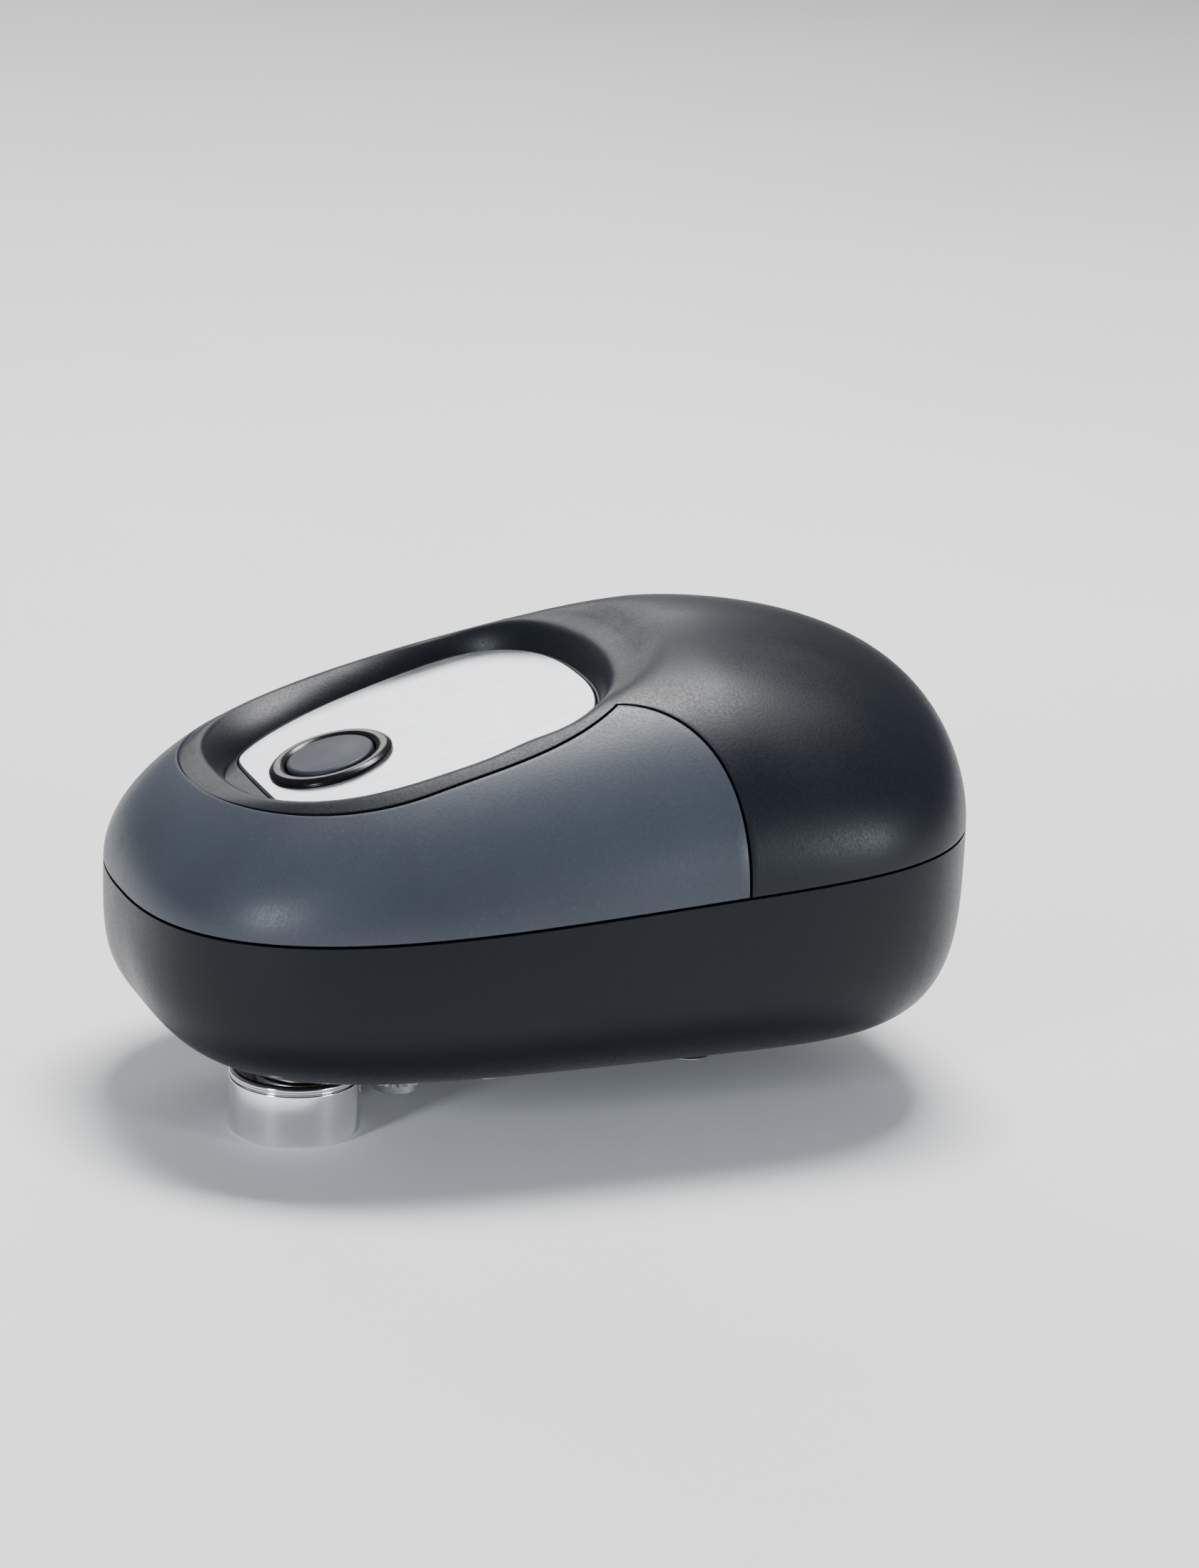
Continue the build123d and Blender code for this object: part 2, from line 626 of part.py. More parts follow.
with BuildPart() as gearbox_screws:
    for spot in STANDOFF_SPOTS:
        cylinder(spot, AXLE_RADIUS, 1.0, GEARBOX_LEVEL[1])
        cylinder(spot, 2.3, GEARBOX_LEVEL[1], GEARBOX_LEVEL[1] + 1.3)
gearbox_screws.part.label = "gearbox_screws"
export_step(gearbox_screws.part, "parts/gearbox_screws.step")

with BuildPart() as gear_axles:
    for spot in AXLE_SPOTS:
        cylinder(spot, AXLE_RADIUS, CHASSIS_LEVEL[0], GEARBOX_LEVEL[1])
gear_axles.part.label = "gear_axles"
export_step(gear_axles.part, "parts/gear_axles.step")

# ---------------------------------------------------------------- motor
MOTOR_BOTTOM = GEARBOX_LEVEL[1]
MOTOR_TOP = MOTOR_BOTTOM + MOTOR_LENGTH
CAP_BOTTOM = MOTOR_TOP - 2.6
with BuildPart() as motor_can:
    with BuildSketch(UNDERSIDE.offset(MOTOR_BOTTOM)):
        with Locations(MOTOR_SPOT):
            Circle(MOTOR_WIDTH / 2)
            Rectangle(MOTOR_DEPTH, MOTOR_WIDTH, mode=Mode.INTERSECT)
    extrude(amount=CAP_BOTTOM - MOTOR_BOTTOM)
    cylinder(MOTOR_SPOT, 3.05, MOTOR_BOTTOM - 1.4, MOTOR_BOTTOM)
    cylinder(MOTOR_SPOT, 1.0 + RUNNING, MOTOR_BOTTOM - 2, CAP_BOTTOM + 1, mode=Mode.SUBTRACT)
    for spot in MOTOR_SCREW_SPOTS:
        cylinder(spot, 1.0, MOTOR_BOTTOM - 1, MOTOR_BOTTOM + 3, mode=Mode.SUBTRACT)
motor_can.part.label = "motor_can"
export_step(motor_can.part, "parts/motor_can.step")

with BuildPart() as motor_end_cap:
    with BuildSketch(UNDERSIDE.offset(CAP_BOTTOM)):
        with Locations(MOTOR_SPOT):
            Circle(MOTOR_WIDTH / 2)
            Rectangle(MOTOR_DEPTH, MOTOR_WIDTH, mode=Mode.INTERSECT)
    extrude(amount=MOTOR_TOP - CAP_BOTTOM)
    cylinder(MOTOR_SPOT, 3.0, MOTOR_TOP, MOTOR_TOP + 1.2)
    cylinder(MOTOR_SPOT, 1.0 + RUNNING, CAP_BOTTOM - 1, MOTOR_TOP + 2, mode=Mode.SUBTRACT)
motor_end_cap.part.label = "motor_end_cap"
export_step(motor_end_cap.part, "parts/motor_end_cap.step")

with BuildPart() as motor_screws:
    for spot in MOTOR_SCREW_SPOTS:
        cylinder(spot, 1.9, GEARBOX_LEVEL[0] - 1.1, GEARBOX_LEVEL[0])
        cylinder(spot, 1.0, GEARBOX_LEVEL[0], MOTOR_BOTTOM + 2.5)
motor_screws.part.label = "motor_screws"
export_step(motor_screws.part, "parts/motor_screws.step")

with BuildPart() as motor_shaft:
    cylinder(MOTOR_SPOT, 1.0, 9.2, MOTOR_TOP + 1.8)
motor_shaft.part.label = "motor_shaft"
export_step(motor_shaft.part, "parts/motor_shaft.step")

# ---------------------------------------------------------------- gear train
# Each gear is turned so that it is in mesh with the one it drives or is driven by.
THIRD_PINION_ANGLE = meshed_angle(0, 36, 12, direction(DRIVE_SPOT, THIRD_SPOT))
SECOND_PINION_ANGLE = meshed_angle(0, 36, 12, direction(THIRD_SPOT, SECOND_SPOT))
FIRST_PINION_ANGLE = meshed_angle(0, 36, 12, direction(SECOND_SPOT, FIRST_SPOT))
MOTOR_PINION_ANGLE = meshed_angle(0, 40, 10, direction(FIRST_SPOT, MOTOR_SPOT))
CLUTCH_GEAR_ANGLE = meshed_angle(0, 19, 22, direction(DRIVE_SPOT, CARRIER_SPOT))
HUB_RADIUS = 2.4
HUB_BORE = AXLE_RADIUS + RUNNING
HUB_BOTTOM = CHASSIS_LEVEL[1] + 0.2
HUB_TOP = GEARBOX_LEVEL[0] - 0.2


def compound_gear(spot, wheel, pinion):
    """A wheel and a pinion moulded on one hub; each is (teeth, module, angle, level)."""
    with BuildPart() as gear:
        cylinder(spot, HUB_RADIUS, HUB_BOTTOM, HUB_TOP)
        for (teeth, module, angle, level), shift in ((wheel, -TOOTH_SHIFT), (pinion, TOOTH_SHIFT)):
            add(gear_face(spot, level, teeth, module, shift, angle, HUB_BORE))
            extrude(amount=level[1] - level[0])
        cylinder(spot, HUB_BORE, 0, TALL, mode=Mode.SUBTRACT)
    return gear.part


first_gear = compound_gear(
    FIRST_SPOT,
    (40, 0.4, 0, FIRST_WHEEL_LEVEL),
    (12, 0.5, FIRST_PINION_ANGLE, SECOND_WHEEL_LEVEL),
)
first_gear.label = "first_gear"
export_step(first_gear, "parts/first_gear.step")

second_gear = compound_gear(
    SECOND_SPOT,
    (36, 0.5, 0, SECOND_WHEEL_LEVEL),
    (12, 0.6, SECOND_PINION_ANGLE, THIRD_WHEEL_LEVEL),
)
second_gear.label = "second_gear"
export_step(second_gear, "parts/second_gear.step")

third_gear = compound_gear(
    THIRD_SPOT,
    (36, 0.6, 0, THIRD_WHEEL_LEVEL),
    (12, 0.8, THIRD_PINION_ANGLE, OUTPUT_LEVEL),
)
third_gear.label = "third_gear"
export_step(third_gear, "parts/third_gear.step")

with BuildPart() as motor_pinion:
    add(gear_face(MOTOR_SPOT, FIRST_WHEEL_LEVEL, 10, 0.4, TOOTH_SHIFT, MOTOR_PINION_ANGLE, 1.0))
    extrude(amount=FIRST_WHEEL_LEVEL[1] - FIRST_WHEEL_LEVEL[0])
motor_pinion.part.label = "motor_pinion"
export_step(motor_pinion.part, "parts/motor_pinion.step")

with BuildPart() as output_gear:
    add(gear_face(DRIVE_SPOT, OUTPUT_LEVEL, 36, 0.8, -TOOTH_SHIFT, 0, SHAFT_RADIUS))
    extrude(amount=OUTPUT_LEVEL[1] - OUTPUT_LEVEL[0])
    cylinder(DRIVE_SPOT, 4.6, OUTPUT_LEVEL[1], OUTPUT_LEVEL[1] + 1.6)
    cylinder(DRIVE_SPOT, SHAFT_RADIUS, 0, TALL, mode=Mode.SUBTRACT)
output_gear.part.label = "output_gear"
export_step(output_gear.part, "parts/output_gear.step")

with BuildPart() as carrier_pinion:
    add(gear_face(DRIVE_SPOT, CLUTCH_LEVEL, 19, 0.8, 0, 0, SHAFT_RADIUS))
    extrude(amount=CLUTCH_LEVEL[1] - CLUTCH_LEVEL[0])
    cylinder(DRIVE_SPOT, 4.6, CLUTCH_LEVEL[1], OUTPUT_LEVEL[0])
    cylinder(DRIVE_SPOT, SHAFT_RADIUS, 0, TALL, mode=Mode.SUBTRACT)
carrier_pinion.part.label = "carrier_pinion"
export_step(carrier_pinion.part, "parts/carrier_pinion.step")

# ---------------------------------------------------------------- drive shaft and wheel
WHEEL_LEVEL = (-6.2, -0.8)
with BuildPart() as drive_shaft:
    cylinder(DRIVE_SPOT, SHAFT_RADIUS, WHEEL_LEVEL[0], GEARBOX_LEVEL[1] + 0.6)
    cylinder(DRIVE_SPOT, 1.2, WHEEL_LEVEL[0] - 1, WHEEL_LEVEL[0] + 6, mode=Mode.SUBTRACT)
drive_shaft.part.label = "drive_shaft"
export_step(drive_shaft.part, "parts/drive_shaft.step")

with BuildPart() as drive_bush:
    cylinder(DRIVE_SPOT, 4.5, 0, CHASSIS_LEVEL[1] + 0.3)
    cylinder(DRIVE_SPOT, SHAFT_RADIUS + RUNNING, -1, CHASSIS_LEVEL[1] + 1, mode=Mode.SUBTRACT)
drive_bush.part.label = "drive_bush"
export_step(drive_bush.part, "parts/drive_bush.step")

KNURLS = 28
with BuildPart() as drive_wheel:
    with BuildSketch(Plane((*DRIVE_SPOT, BASE_Z + WHEEL_LEVEL[0]))):
        with BuildLine():
            knurl = [
                (radius * cos(2 * pi * (i + half) / KNURLS), radius * sin(2 * pi * (i + half) / KNURLS))
                for i in range(KNURLS)
                for radius, half in ((DRIVE_WHEEL_RADIUS, 0), (DRIVE_WHEEL_RADIUS - 0.42, 0.5))
            ]
            Polyline(*knurl, close=True)
        make_face()
    extrude(amount=WHEEL_LEVEL[1] - WHEEL_LEVEL[0] - 0.6)
    cylinder(DRIVE_SPOT, 3.5, WHEEL_LEVEL[1] - 0.6, WHEEL_LEVEL[1])
    cylinder(DRIVE_SPOT, SHAFT_RADIUS, WHEEL_LEVEL[0] - 1, 1, mode=Mode.SUBTRACT)
drive_wheel.part.label = "drive_wheel"
export_step(drive_wheel.part, "parts/drive_wheel.step")

with BuildPart() as drive_screw:
    cylinder(DRIVE_SPOT, 3.4, WHEEL_LEVEL[0] - 1.3, WHEEL_LEVEL[0])
    cylinder(DRIVE_SPOT, 1.2, WHEEL_LEVEL[0], WHEEL_LEVEL[0] + 5.5)
    with Locations((*DRIVE_SPOT, BASE_Z + WHEEL_LEVEL[0] - 1.3)):
        Box(4.2, 0.8, 0.7, align=STAND, mode=Mode.SUBTRACT)
        Box(0.8, 4.2, 0.7, align=STAND, mode=Mode.SUBTRACT)
drive_screw.part.label = "drive_screw"
export_step(drive_screw.part, "parts/drive_screw.step")

# ---------------------------------------------------------------- cutter and its carrier
JOURNAL_RADIUS = 6.0
CARRIER_TOP = 9.2
PIN_RADIUS = 2.5
with BuildPart() as cutter_carrier:
    cylinder(CARRIER_SPOT, JOURNAL_RADIUS, -0.4, CHASSIS_LEVEL[1] + 0.3)
    cylinder(CARRIER_SPOT, 4.5, CHASSIS_LEVEL[1] + 0.3, CARRIER_TOP)
    cylinder(CARRIER_SPOT, 6.5, -1.0, -0.3)
    cylinder(OPEN_CUTTER, PIN_RADIUS, -2, 3.5, mode=Mode.SUBTRACT)
cutter_carrier.part.label = "cutter_carrier"
export_step(cutter_carrier.part, "parts/cutter_carrier.step")

with BuildPart() as carrier_bush:
    cylinder(CARRIER_SPOT, 7.2, 0, CHASSIS_LEVEL[1] + 0.1)
    cylinder(CARRIER_SPOT, JOURNAL_RADIUS + RUNNING, -1, CHASSIS_LEVEL[1] + 1, mode=Mode.SUBTRACT)
carrier_bush.part.label = "carrier_bush"
export_step(carrier_bush.part, "parts/carrier_bush.step")

with BuildPart() as clutch_gear:
    add(gear_face(CARRIER_SPOT, CLUTCH_LEVEL, 22, 0.8, 0, CLUTCH_GEAR_ANGLE, 4.5 + RUNNING))
    extrude(amount=CLUTCH_LEVEL[1] - CLUTCH_LEVEL[0])
clutch_gear.part.label = "clutch_gear"
export_step(clutch_gear.part, "parts/clutch_gear.step")

with BuildPart() as clutch_washer:
    cylinder(CARRIER_SPOT, 7.4, CLUTCH_LEVEL[1] + 0.15, CLUTCH_LEVEL[1] + 0.85)
    cylinder(CARRIER_SPOT, 4.5, 0, TALL, mode=Mode.SUBTRACT)
clutch_washer.part.label = "clutch_washer"
export_step(clutch_washer.part, "parts/clutch_washer.step")

with BuildPart() as clutch_clip:
    cylinder(CARRIER_SPOT, 6.2, CLUTCH_LEVEL[1] + 0.85, CARRIER_TOP - 0.2)
    cylinder(CARRIER_SPOT, 4.5, 0, TALL, mode=Mode.SUBTRACT)
    with Locations((CARRIER_SPOT[0], CARRIER_SPOT[1] - 5, BASE_Z + CLUTCH_LEVEL[1])):
        Box(5.0, 5.0, 4.0, align=STAND, mode=Mode.SUBTRACT)
clutch_clip.part.label = "clutch_clip"
export_step(clutch_clip.part, "parts/clutch_clip.step")

ROLLER_TOP = -0.45
ROLLER_RECESS = 8.15  # the recess in its top, round the carrier's collar
RECESS_FLOOR = -1.25
with BuildPart() as cutter_wheel:
    with BuildSketch(Plane((*OPEN_CUTTER, BASE_Z), x_dir=(1, 0, 0), z_dir=(0, -1, 0))):
        with BuildLine():
            Polyline(
                (PIN_RADIUS + RUNNING, RECESS_FLOOR),
                (ROLLER_RECESS, RECESS_FLOOR),
                (ROLLER_RECESS, ROLLER_TOP),
                (8.9, ROLLER_TOP),
                (ROLLER_RADIUS, ROLLER_TOP - 0.35),
                (ROLLER_RADIUS, -BASE_Z + 0.5),
                (ROLLER_RADIUS - 0.5, -BASE_Z),
                (6.0, -BASE_Z),
                (6.0, -BASE_Z + 1.6),
                (PIN_RADIUS + RUNNING, -BASE_Z + 1.6),
                close=True,
            )
        make_face()
    revolve(axis=Axis((*OPEN_CUTTER, 0), (0, 0, 1)))
cutter_wheel.part.label = "cutter_wheel"
export_step(cutter_wheel.part, "parts/cutter_wheel.step")

with BuildPart() as cutter_pin:
    cylinder(OPEN_CUTTER, PIN_RADIUS, -BASE_Z + 1.5, 3.5)
    cylinder(OPEN_CUTTER, 4.8, -BASE_Z + 0.3, -BASE_Z + 1.5)
cutter_pin.part.label = "cutter_pin"
export_step(cutter_pin.part, "parts/cutter_pin.step")

# ---------------------------------------------------------------- lid magnet
with BuildPart() as magnet_holder:
    cylinder(MAGNET_SPOT, 7.2, -2.2, 4.0)
    cylinder(MAGNET_SPOT, 8.6, CHASSIS_LEVEL[1] + 0.05, CHASSIS_LEVEL[1] + 1.3)
    cylinder(MAGNET_SPOT, 6.0, -3, 0.8, mode=Mode.SUBTRACT)
magnet_holder.part.label = "magnet_holder"
export_step(magnet_holder.part, "parts/magnet_holder.step")

with BuildPart() as lid_magnet:
    cylinder(MAGNET_SPOT, 6.0, -2.2, 0.8)
lid_magnet.part.label = "lid_magnet"
export_step(lid_magnet.part, "parts/lid_magnet.step")

SPRING_WIRE = 0.5
SPRING_BOTTOM = CHASSIS_LEVEL[1] + 1.35 + SPRING_WIRE / 2
SPRING_TOP = GEARBOX_LEVEL[0] - 0.05 - SPRING_WIRE / 2
magnet_spring = coil(
    (*MAGNET_SPOT, BASE_Z + SPRING_BOTTOM),
    (0, 0, 1),
    5.0,
    SPRING_WIRE,
    SPRING_TOP - SPRING_BOTTOM,
    5.5,
)
magnet_spring.label = "magnet_spring"
export_step(magnet_spring, "parts/magnet_spring.step")

# ---------------------------------------------------------------- cells and contacts
# The cells alternate, so that each faces a spring with its flat end.
CONTACT_SIZE = 8.0
CONTACT_CORNER = 1.5
CONTACT_THICKNESS = 0.4
NUB_LENGTH = 1.0
NUB_RADIUS = 2.75
cell_spots = [(x, height) for height in CELL_HEIGHTS for x in CELL_XS]
cell_signs = [1, -1, -1, 1]  # which way each cell's raised end points along Y
for number, ((x, height), sign) in enumerate(zip(cell_spots, cell_signs), start=1):
    axis_plane = Plane((x, -sign * CELL_LENGTH / 2, BASE_Z + height), z_dir=(0, sign, 0))
    with BuildPart() as aa_cell:
        with BuildSketch(axis_plane):
            Circle(CELL_RADIUS)
        extrude(amount=CELL_LENGTH - NUB_LENGTH)
        fillet(aa_cell.edges().filter_by(GeomType.CIRCLE), 0.5)
        with BuildSketch(axis_plane.offset(CELL_LENGTH - NUB_LENGTH)):
            Circle(NUB_RADIUS)
        extrude(amount=NUB_LENGTH)
    aa_cell.part.label = f"aa_cell_{number}"
    export_step(aa_cell.part, f"parts/aa_cell_{number}.step")

with BuildPart() as contact_plates:
    for (x, height), sign in zip(cell_spots, cell_signs):
        for end in (1, -1):
            with BuildSketch(Plane((x, end * BAY_HALF_WIDTH, BASE_Z + height), z_dir=(0, -end, 0))):
                RectangleRounded(CONTACT_SIZE, CONTACT_SIZE, CONTACT_CORNER)
            extrude(amount=CONTACT_THICKNESS)
        stud_plane = Plane((x, sign * CELL_LENGTH / 2, BASE_Z + height), z_dir=(0, sign, 0))
        with BuildSketch(stud_plane):
            Circle(1.8)
        with BuildSketch(stud_plane.offset(BAY_HALF_WIDTH - CONTACT_THICKNESS - CELL_LENGTH / 2)):
            Circle(3.2)
        loft()
contact_plates.part.label = "contact_plates"
export_step(contact_plates.part, "parts/contact_plates.step")

CONTACT_WIRE = 0.5
coils = []
for (x, height), sign in zip(cell_spots, cell_signs):
    start = CELL_LENGTH / 2 + CONTACT_WIRE / 2
    length = BAY_HALF_WIDTH - CONTACT_THICKNESS - CONTACT_WIRE / 2 - start
    coils.append(coil((x, -sign * start, BASE_Z + height), (0, -sign, 0), 3.6, CONTACT_WIRE, length, 2.5))
contact_springs = Compound(children=coils)
contact_springs.label = "contact_springs"
export_step(contact_springs, "parts/contact_springs.step")
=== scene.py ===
"""Looks of the rim-walking can opener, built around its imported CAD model.

The outer skins repeat the body's own formulas, in millimetres, with finer edges than
the CAD solids have; everything is scaled to metres when a mesh is made.
"""

import json
from math import cos, hypot, pi, radians, sin, tan

import bpy
import numpy as np
from mathutils import Matrix, Vector


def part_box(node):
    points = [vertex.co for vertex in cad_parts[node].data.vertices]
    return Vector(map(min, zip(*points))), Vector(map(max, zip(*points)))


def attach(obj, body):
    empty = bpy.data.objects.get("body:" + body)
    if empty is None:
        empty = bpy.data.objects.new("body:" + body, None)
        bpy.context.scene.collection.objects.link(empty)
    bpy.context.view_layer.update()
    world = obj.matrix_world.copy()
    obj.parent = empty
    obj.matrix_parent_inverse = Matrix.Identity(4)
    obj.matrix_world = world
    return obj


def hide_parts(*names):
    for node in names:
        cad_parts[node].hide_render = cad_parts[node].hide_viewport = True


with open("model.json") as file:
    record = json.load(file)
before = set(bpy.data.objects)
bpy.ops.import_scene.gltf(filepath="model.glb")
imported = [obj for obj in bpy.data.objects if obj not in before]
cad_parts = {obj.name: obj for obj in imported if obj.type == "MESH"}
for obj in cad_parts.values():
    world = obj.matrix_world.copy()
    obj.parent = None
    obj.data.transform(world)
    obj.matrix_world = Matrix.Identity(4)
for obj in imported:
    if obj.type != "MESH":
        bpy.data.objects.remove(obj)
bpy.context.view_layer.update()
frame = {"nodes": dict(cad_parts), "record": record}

# ---------------------------------------------------------------- body dimensions, mm
MM = 0.001
LENGTH = 120.0
WIDTH = 80.0
BODY_HEIGHT = 57.7
BASE_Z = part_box("base_casing")[0].z / MM
SEAM_HEIGHT = 26.6
SEAM_SLOPE = 0.065
SEAM_GAP = 0.4
WALL = 2.0
BROADEST_X = 9.2
HUMP_X = 18.2
PLAN_NOSE = (3.4, 2.48)
PLAN_TAIL = (4.2, 2.55)
TOP_NOSE = (1.94, 2.14)
TOP_TAIL = (1.5, 3.0)
UPPER_POWER = 1.96
BUTTON_X = -29.9
DECK_HEIGHT = 38.9
DECK_TILT = radians(16.0)
PLATE_FRONT = -10.7
LIP_X = -10.0
LIP_HEIGHT = 48.3
LIP_TILT = radians(14.7)
CUT_RISE = 9.0
SLEEVE_RADIUS = 7.95
PLATE_GAP = 0.22
POCKET_BREAK = 0.12
POCKET_DROP = 1.05  # depths of the plate's pocket and the dish's floor below the deck's plane
FLOOR_DROP = 0.25
LEAST_DISH_SLOPE = 1.25  # how far the dish's wall leans outwards at the very least
LIP_ROLL = 1.1  # width and depth of the roll from the collar down into the dish
LIP_ROLL_DROP = 0.5
CENTRE_X = -19.0  # every outline is described by rays from here
SPLIT_SPOT = (0.0, 42.0)
SPLIT_SIZE = (17.2, 20.5)

FRONT_COLUMNS = 210
REAR_COLUMNS = 130
SHELL_ROWS = 44
WALL_STEPS = 26


# ---------------------------------------------------------------- body formulas
def bulge(t, powers):
    """Superellipse profile: 1 at t = 0, falling to 0 at t = 1."""
    return np.maximum(1 - np.abs(t) ** powers[0], 0) ** (1 / powers[1])


def half_width(x):
    front = bulge((BROADEST_X - x) / (LENGTH / 2 + BROADEST_X), PLAN_NOSE)
    rear = bulge((x - BROADEST_X) / (LENGTH / 2 - BROADEST_X), PLAN_TAIL)
    return WIDTH / 2 * np.where(x < BROADEST_X, front, rear)


def crown(x):
    front = bulge((HUMP_X - x) / (LENGTH / 2 + HUMP_X), TOP_NOSE)
    rear = bulge((x - HUMP_X) / (LENGTH / 2 - HUMP_X), TOP_TAIL)
    highest = BODY_HEIGHT - SEAM_HEIGHT - SEAM_SLOPE * HUMP_X
    return highest * np.where(x < HUMP_X, front, rear)


def seam_z(x):
    return BASE_Z + SEAM_HEIGHT + SEAM_SLOPE * x


def body_top(x, y):
    """Height of the plain body above a point of the plan."""
    across = np.clip(np.abs(y) / np.maximum(half_width(x), 1e-6), 0, 1)
    return seam_z(x) + crown(x) * (1 - across**UPPER_POWER) ** (1 / UPPER_POWER)


def deck_z(x, drop=0.0):
    return BASE_Z + DECK_HEIGHT + (x - BUTTON_X) * tan(DECK_TILT) - drop / cos(DECK_TILT)


def lip_z(x):
    return BASE_Z + LIP_HEIGHT + (x - LIP_X) * tan(LIP_TILT)


def egg(front, rear, broadest, half, nose_power, tail_power, origin=0.0, tilt=0.0):
    """An egg-shaped outline seen from above, as a function that is positive outside it."""

    def outside(x, y):
        u = (x - origin) / cos(tilt)
        behind = u > broadest
        reach = np.where(behind, rear - broadest, broadest - front)
        power = np.where(behind, tail_power, nose_power)
        return np.abs((u - broadest) / reach) ** power + np.abs(y / half) ** power - 1

    return outside


def collar_outline(margin):
    return egg(-50.2 - margin, 12.0 + margin, -24.0, 27.5 + margin, 2.15, 2.78)


def reach(angles, outside):
    """How far from the centre each ray leaves an outline."""
    low = np.zeros_like(angles)
    high = np.full_like(angles, LENGTH)
    for _ in range(44):
        middle = (low + high) / 2
        beyond = outside(CENTRE_X + middle * np.cos(angles), middle * np.sin(angles)) > 0
        high = np.where(beyond, middle, high)
        low = np.where(beyond, low, middle)
    return low


def plan(angles, radii):
    return CENTRE_X + radii * np.cos(angles), radii * np.sin(angles)


def smooth_min(a, b, softness):
    return 0.5 * (a + b - np.sqrt((a - b) ** 2 + softness**2))


def smooth_max(a, b, softness):
    return -smooth_min(-a, -b, softness)


LIP_EGG = egg(-44.0, 22.6, -13.0, 28.5, 2.15, 2.6, LIP_X, LIP_TILT)
CUT_EGG = egg(-64.0, 40.0, -13.0, 44.0, 2.15, 2.6, LIP_X - CUT_RISE * sin(LIP_TILT), LIP_TILT)
DISH_RIM = egg(-37.2, 18.5, -9.6, 24.8, 2.7, 2.0, LIP_X, LIP_TILT)
DISH_FLOOR = egg(-14.4, 37.6, 20.5, 22.2, 2.5, 2.45, BUTTON_X, DECK_TILT)


def top_z(x, y):
    """Height of the upper body, trimmed round the dish by the lip's plane and the slope outside it."""
    angles = np.arctan2(y, x - CENTRE_X)
    inner = reach(angles, LIP_EGG)
    outer = reach(angles, CUT_EGG)
    rise = CUT_RISE / cos(LIP_TILT) * (np.hypot(x - CENTRE_X, y) - inner) / (outer - inner)
    trimmed = lip_z(x) + 0.5 * (rise + np.sqrt(rise**2 + 1.0))
    return smooth_min(body_top(x, y), trimmed, 0.9)


def beyond_body(x, y):
    """Positive outside the body's outline seen from above."""
    return np.where(np.abs(x) >= LENGTH / 2, 1.0, np.abs(y) - half_width(x))


def split_angle(share, margin):
    """Where the side split crosses the skin, a share of the way from the collar to the seam."""
    low, high = radians(25.0), radians(75.0)
    for _ in range(40):
        middle = (low + high) / 2
        x, y = shell_plan(np.array([middle]), share, margin)
        u = (x[0] - SPLIT_SPOT[0]) / (SPLIT_SIZE[0] - margin)
        v = (y[0] - SPLIT_SPOT[1]) / (SPLIT_SIZE[1] - margin)
        if x[0] > 0 and u * u + v * v > 1:
            low = middle
        else:
            high = middle
    return low


def shell_plan(angles, share, margin):
    """Plan points a share of the way, along the body's round, from the collar's edge to the seam."""
    inner = reach(angles, collar_outline(margin))
    outer = reach(angles, beyond_body)
    start = np.arcsin(np.clip(inner / outer, 0, 1))
    turn = start + share * (pi / 2 - start)
    return plan(angles, outer * np.sin(turn))


# ---------------------------------------------------------------- mesh helpers
def new_object(name, vertices, faces, material):
    mesh = bpy.data.meshes.new(name)
    mesh.from_pydata([tuple(v) for v in np.asarray(vertices) * MM], [], faces)
    mesh.validate()
    mesh.update()
    mesh.materials.append(material)
    piece = bpy.data.objects.new(name, mesh)
    bpy.context.scene.collection.objects.link(piece)
    return piece


def strip(first, second, closed):
    """Faces between two rows of equally many vertex numbers."""
    count = len(first) if closed else len(first) - 1
    faces = []
    for i in range(count):
        j = (i + 1) % len(first)
        faces.append((first[i], first[j], second[j], second[i]))
    return faces


def apply_modifiers(piece):
    depsgraph = bpy.context.evaluated_depsgraph_get()
    mesh = bpy.data.meshes.new_from_object(piece.evaluated_get(depsgraph))
    old = piece.data
    piece.modifiers.clear()
    piece.data = mesh
    bpy.data.meshes.remove(old)


def thicken(piece, thickness, edge):
    """Give a skin its wall, with its edges slightly rounded."""
    solidify = piece.modifiers.new("wall", "SOLIDIFY")
    solidify.thickness = thickness * MM
    solidify.offset = -1.0
    bevel = piece.modifiers.new("edges", "BEVEL")
    bevel.width = edge * MM
    bevel.segments = 3
    bevel.limit_method = "ANGLE"
    bevel.angle_limit = radians(50.0)
    apply_modifiers(piece)


def smooth(piece, angle=35.0):
    piece.data.shade_smooth()
    piece.data.set_sharp_from_angle(angle=radians(angle))


def rounded(outline, radius, steps=4):
    """A profile of (r, z) corners with each corner turned into an arc of up to that radius."""
    points = []
    last = len(outline) - 1
    for i, corner in enumerate(outline):
        if i in (0, last):
            points.append(corner)
            continue
        before, after = outline[i - 1], outline[i + 1]
        arms = []
        for other in (before, after):
            length = hypot(other[0] - corner[0], other[1] - corner[1])
            cut = min(radius, 0.45 * length)
            share = cut / length
            along, up = other[0] - corner[0], other[1] - corner[1]
            arms.append((corner[0] + along * share, corner[1] + up * share))
        for k in range(steps + 1):
            t = k / steps
            a, b, c = (1 - t) ** 2, 2 * t * (1 - t), t * t
            points.append(
                (
                    a * arms[0][0] + b * corner[0] + c * arms[1][0],
                    a * arms[0][1] + b * corner[1] + c * arms[1][1],
                )
            )
    return points


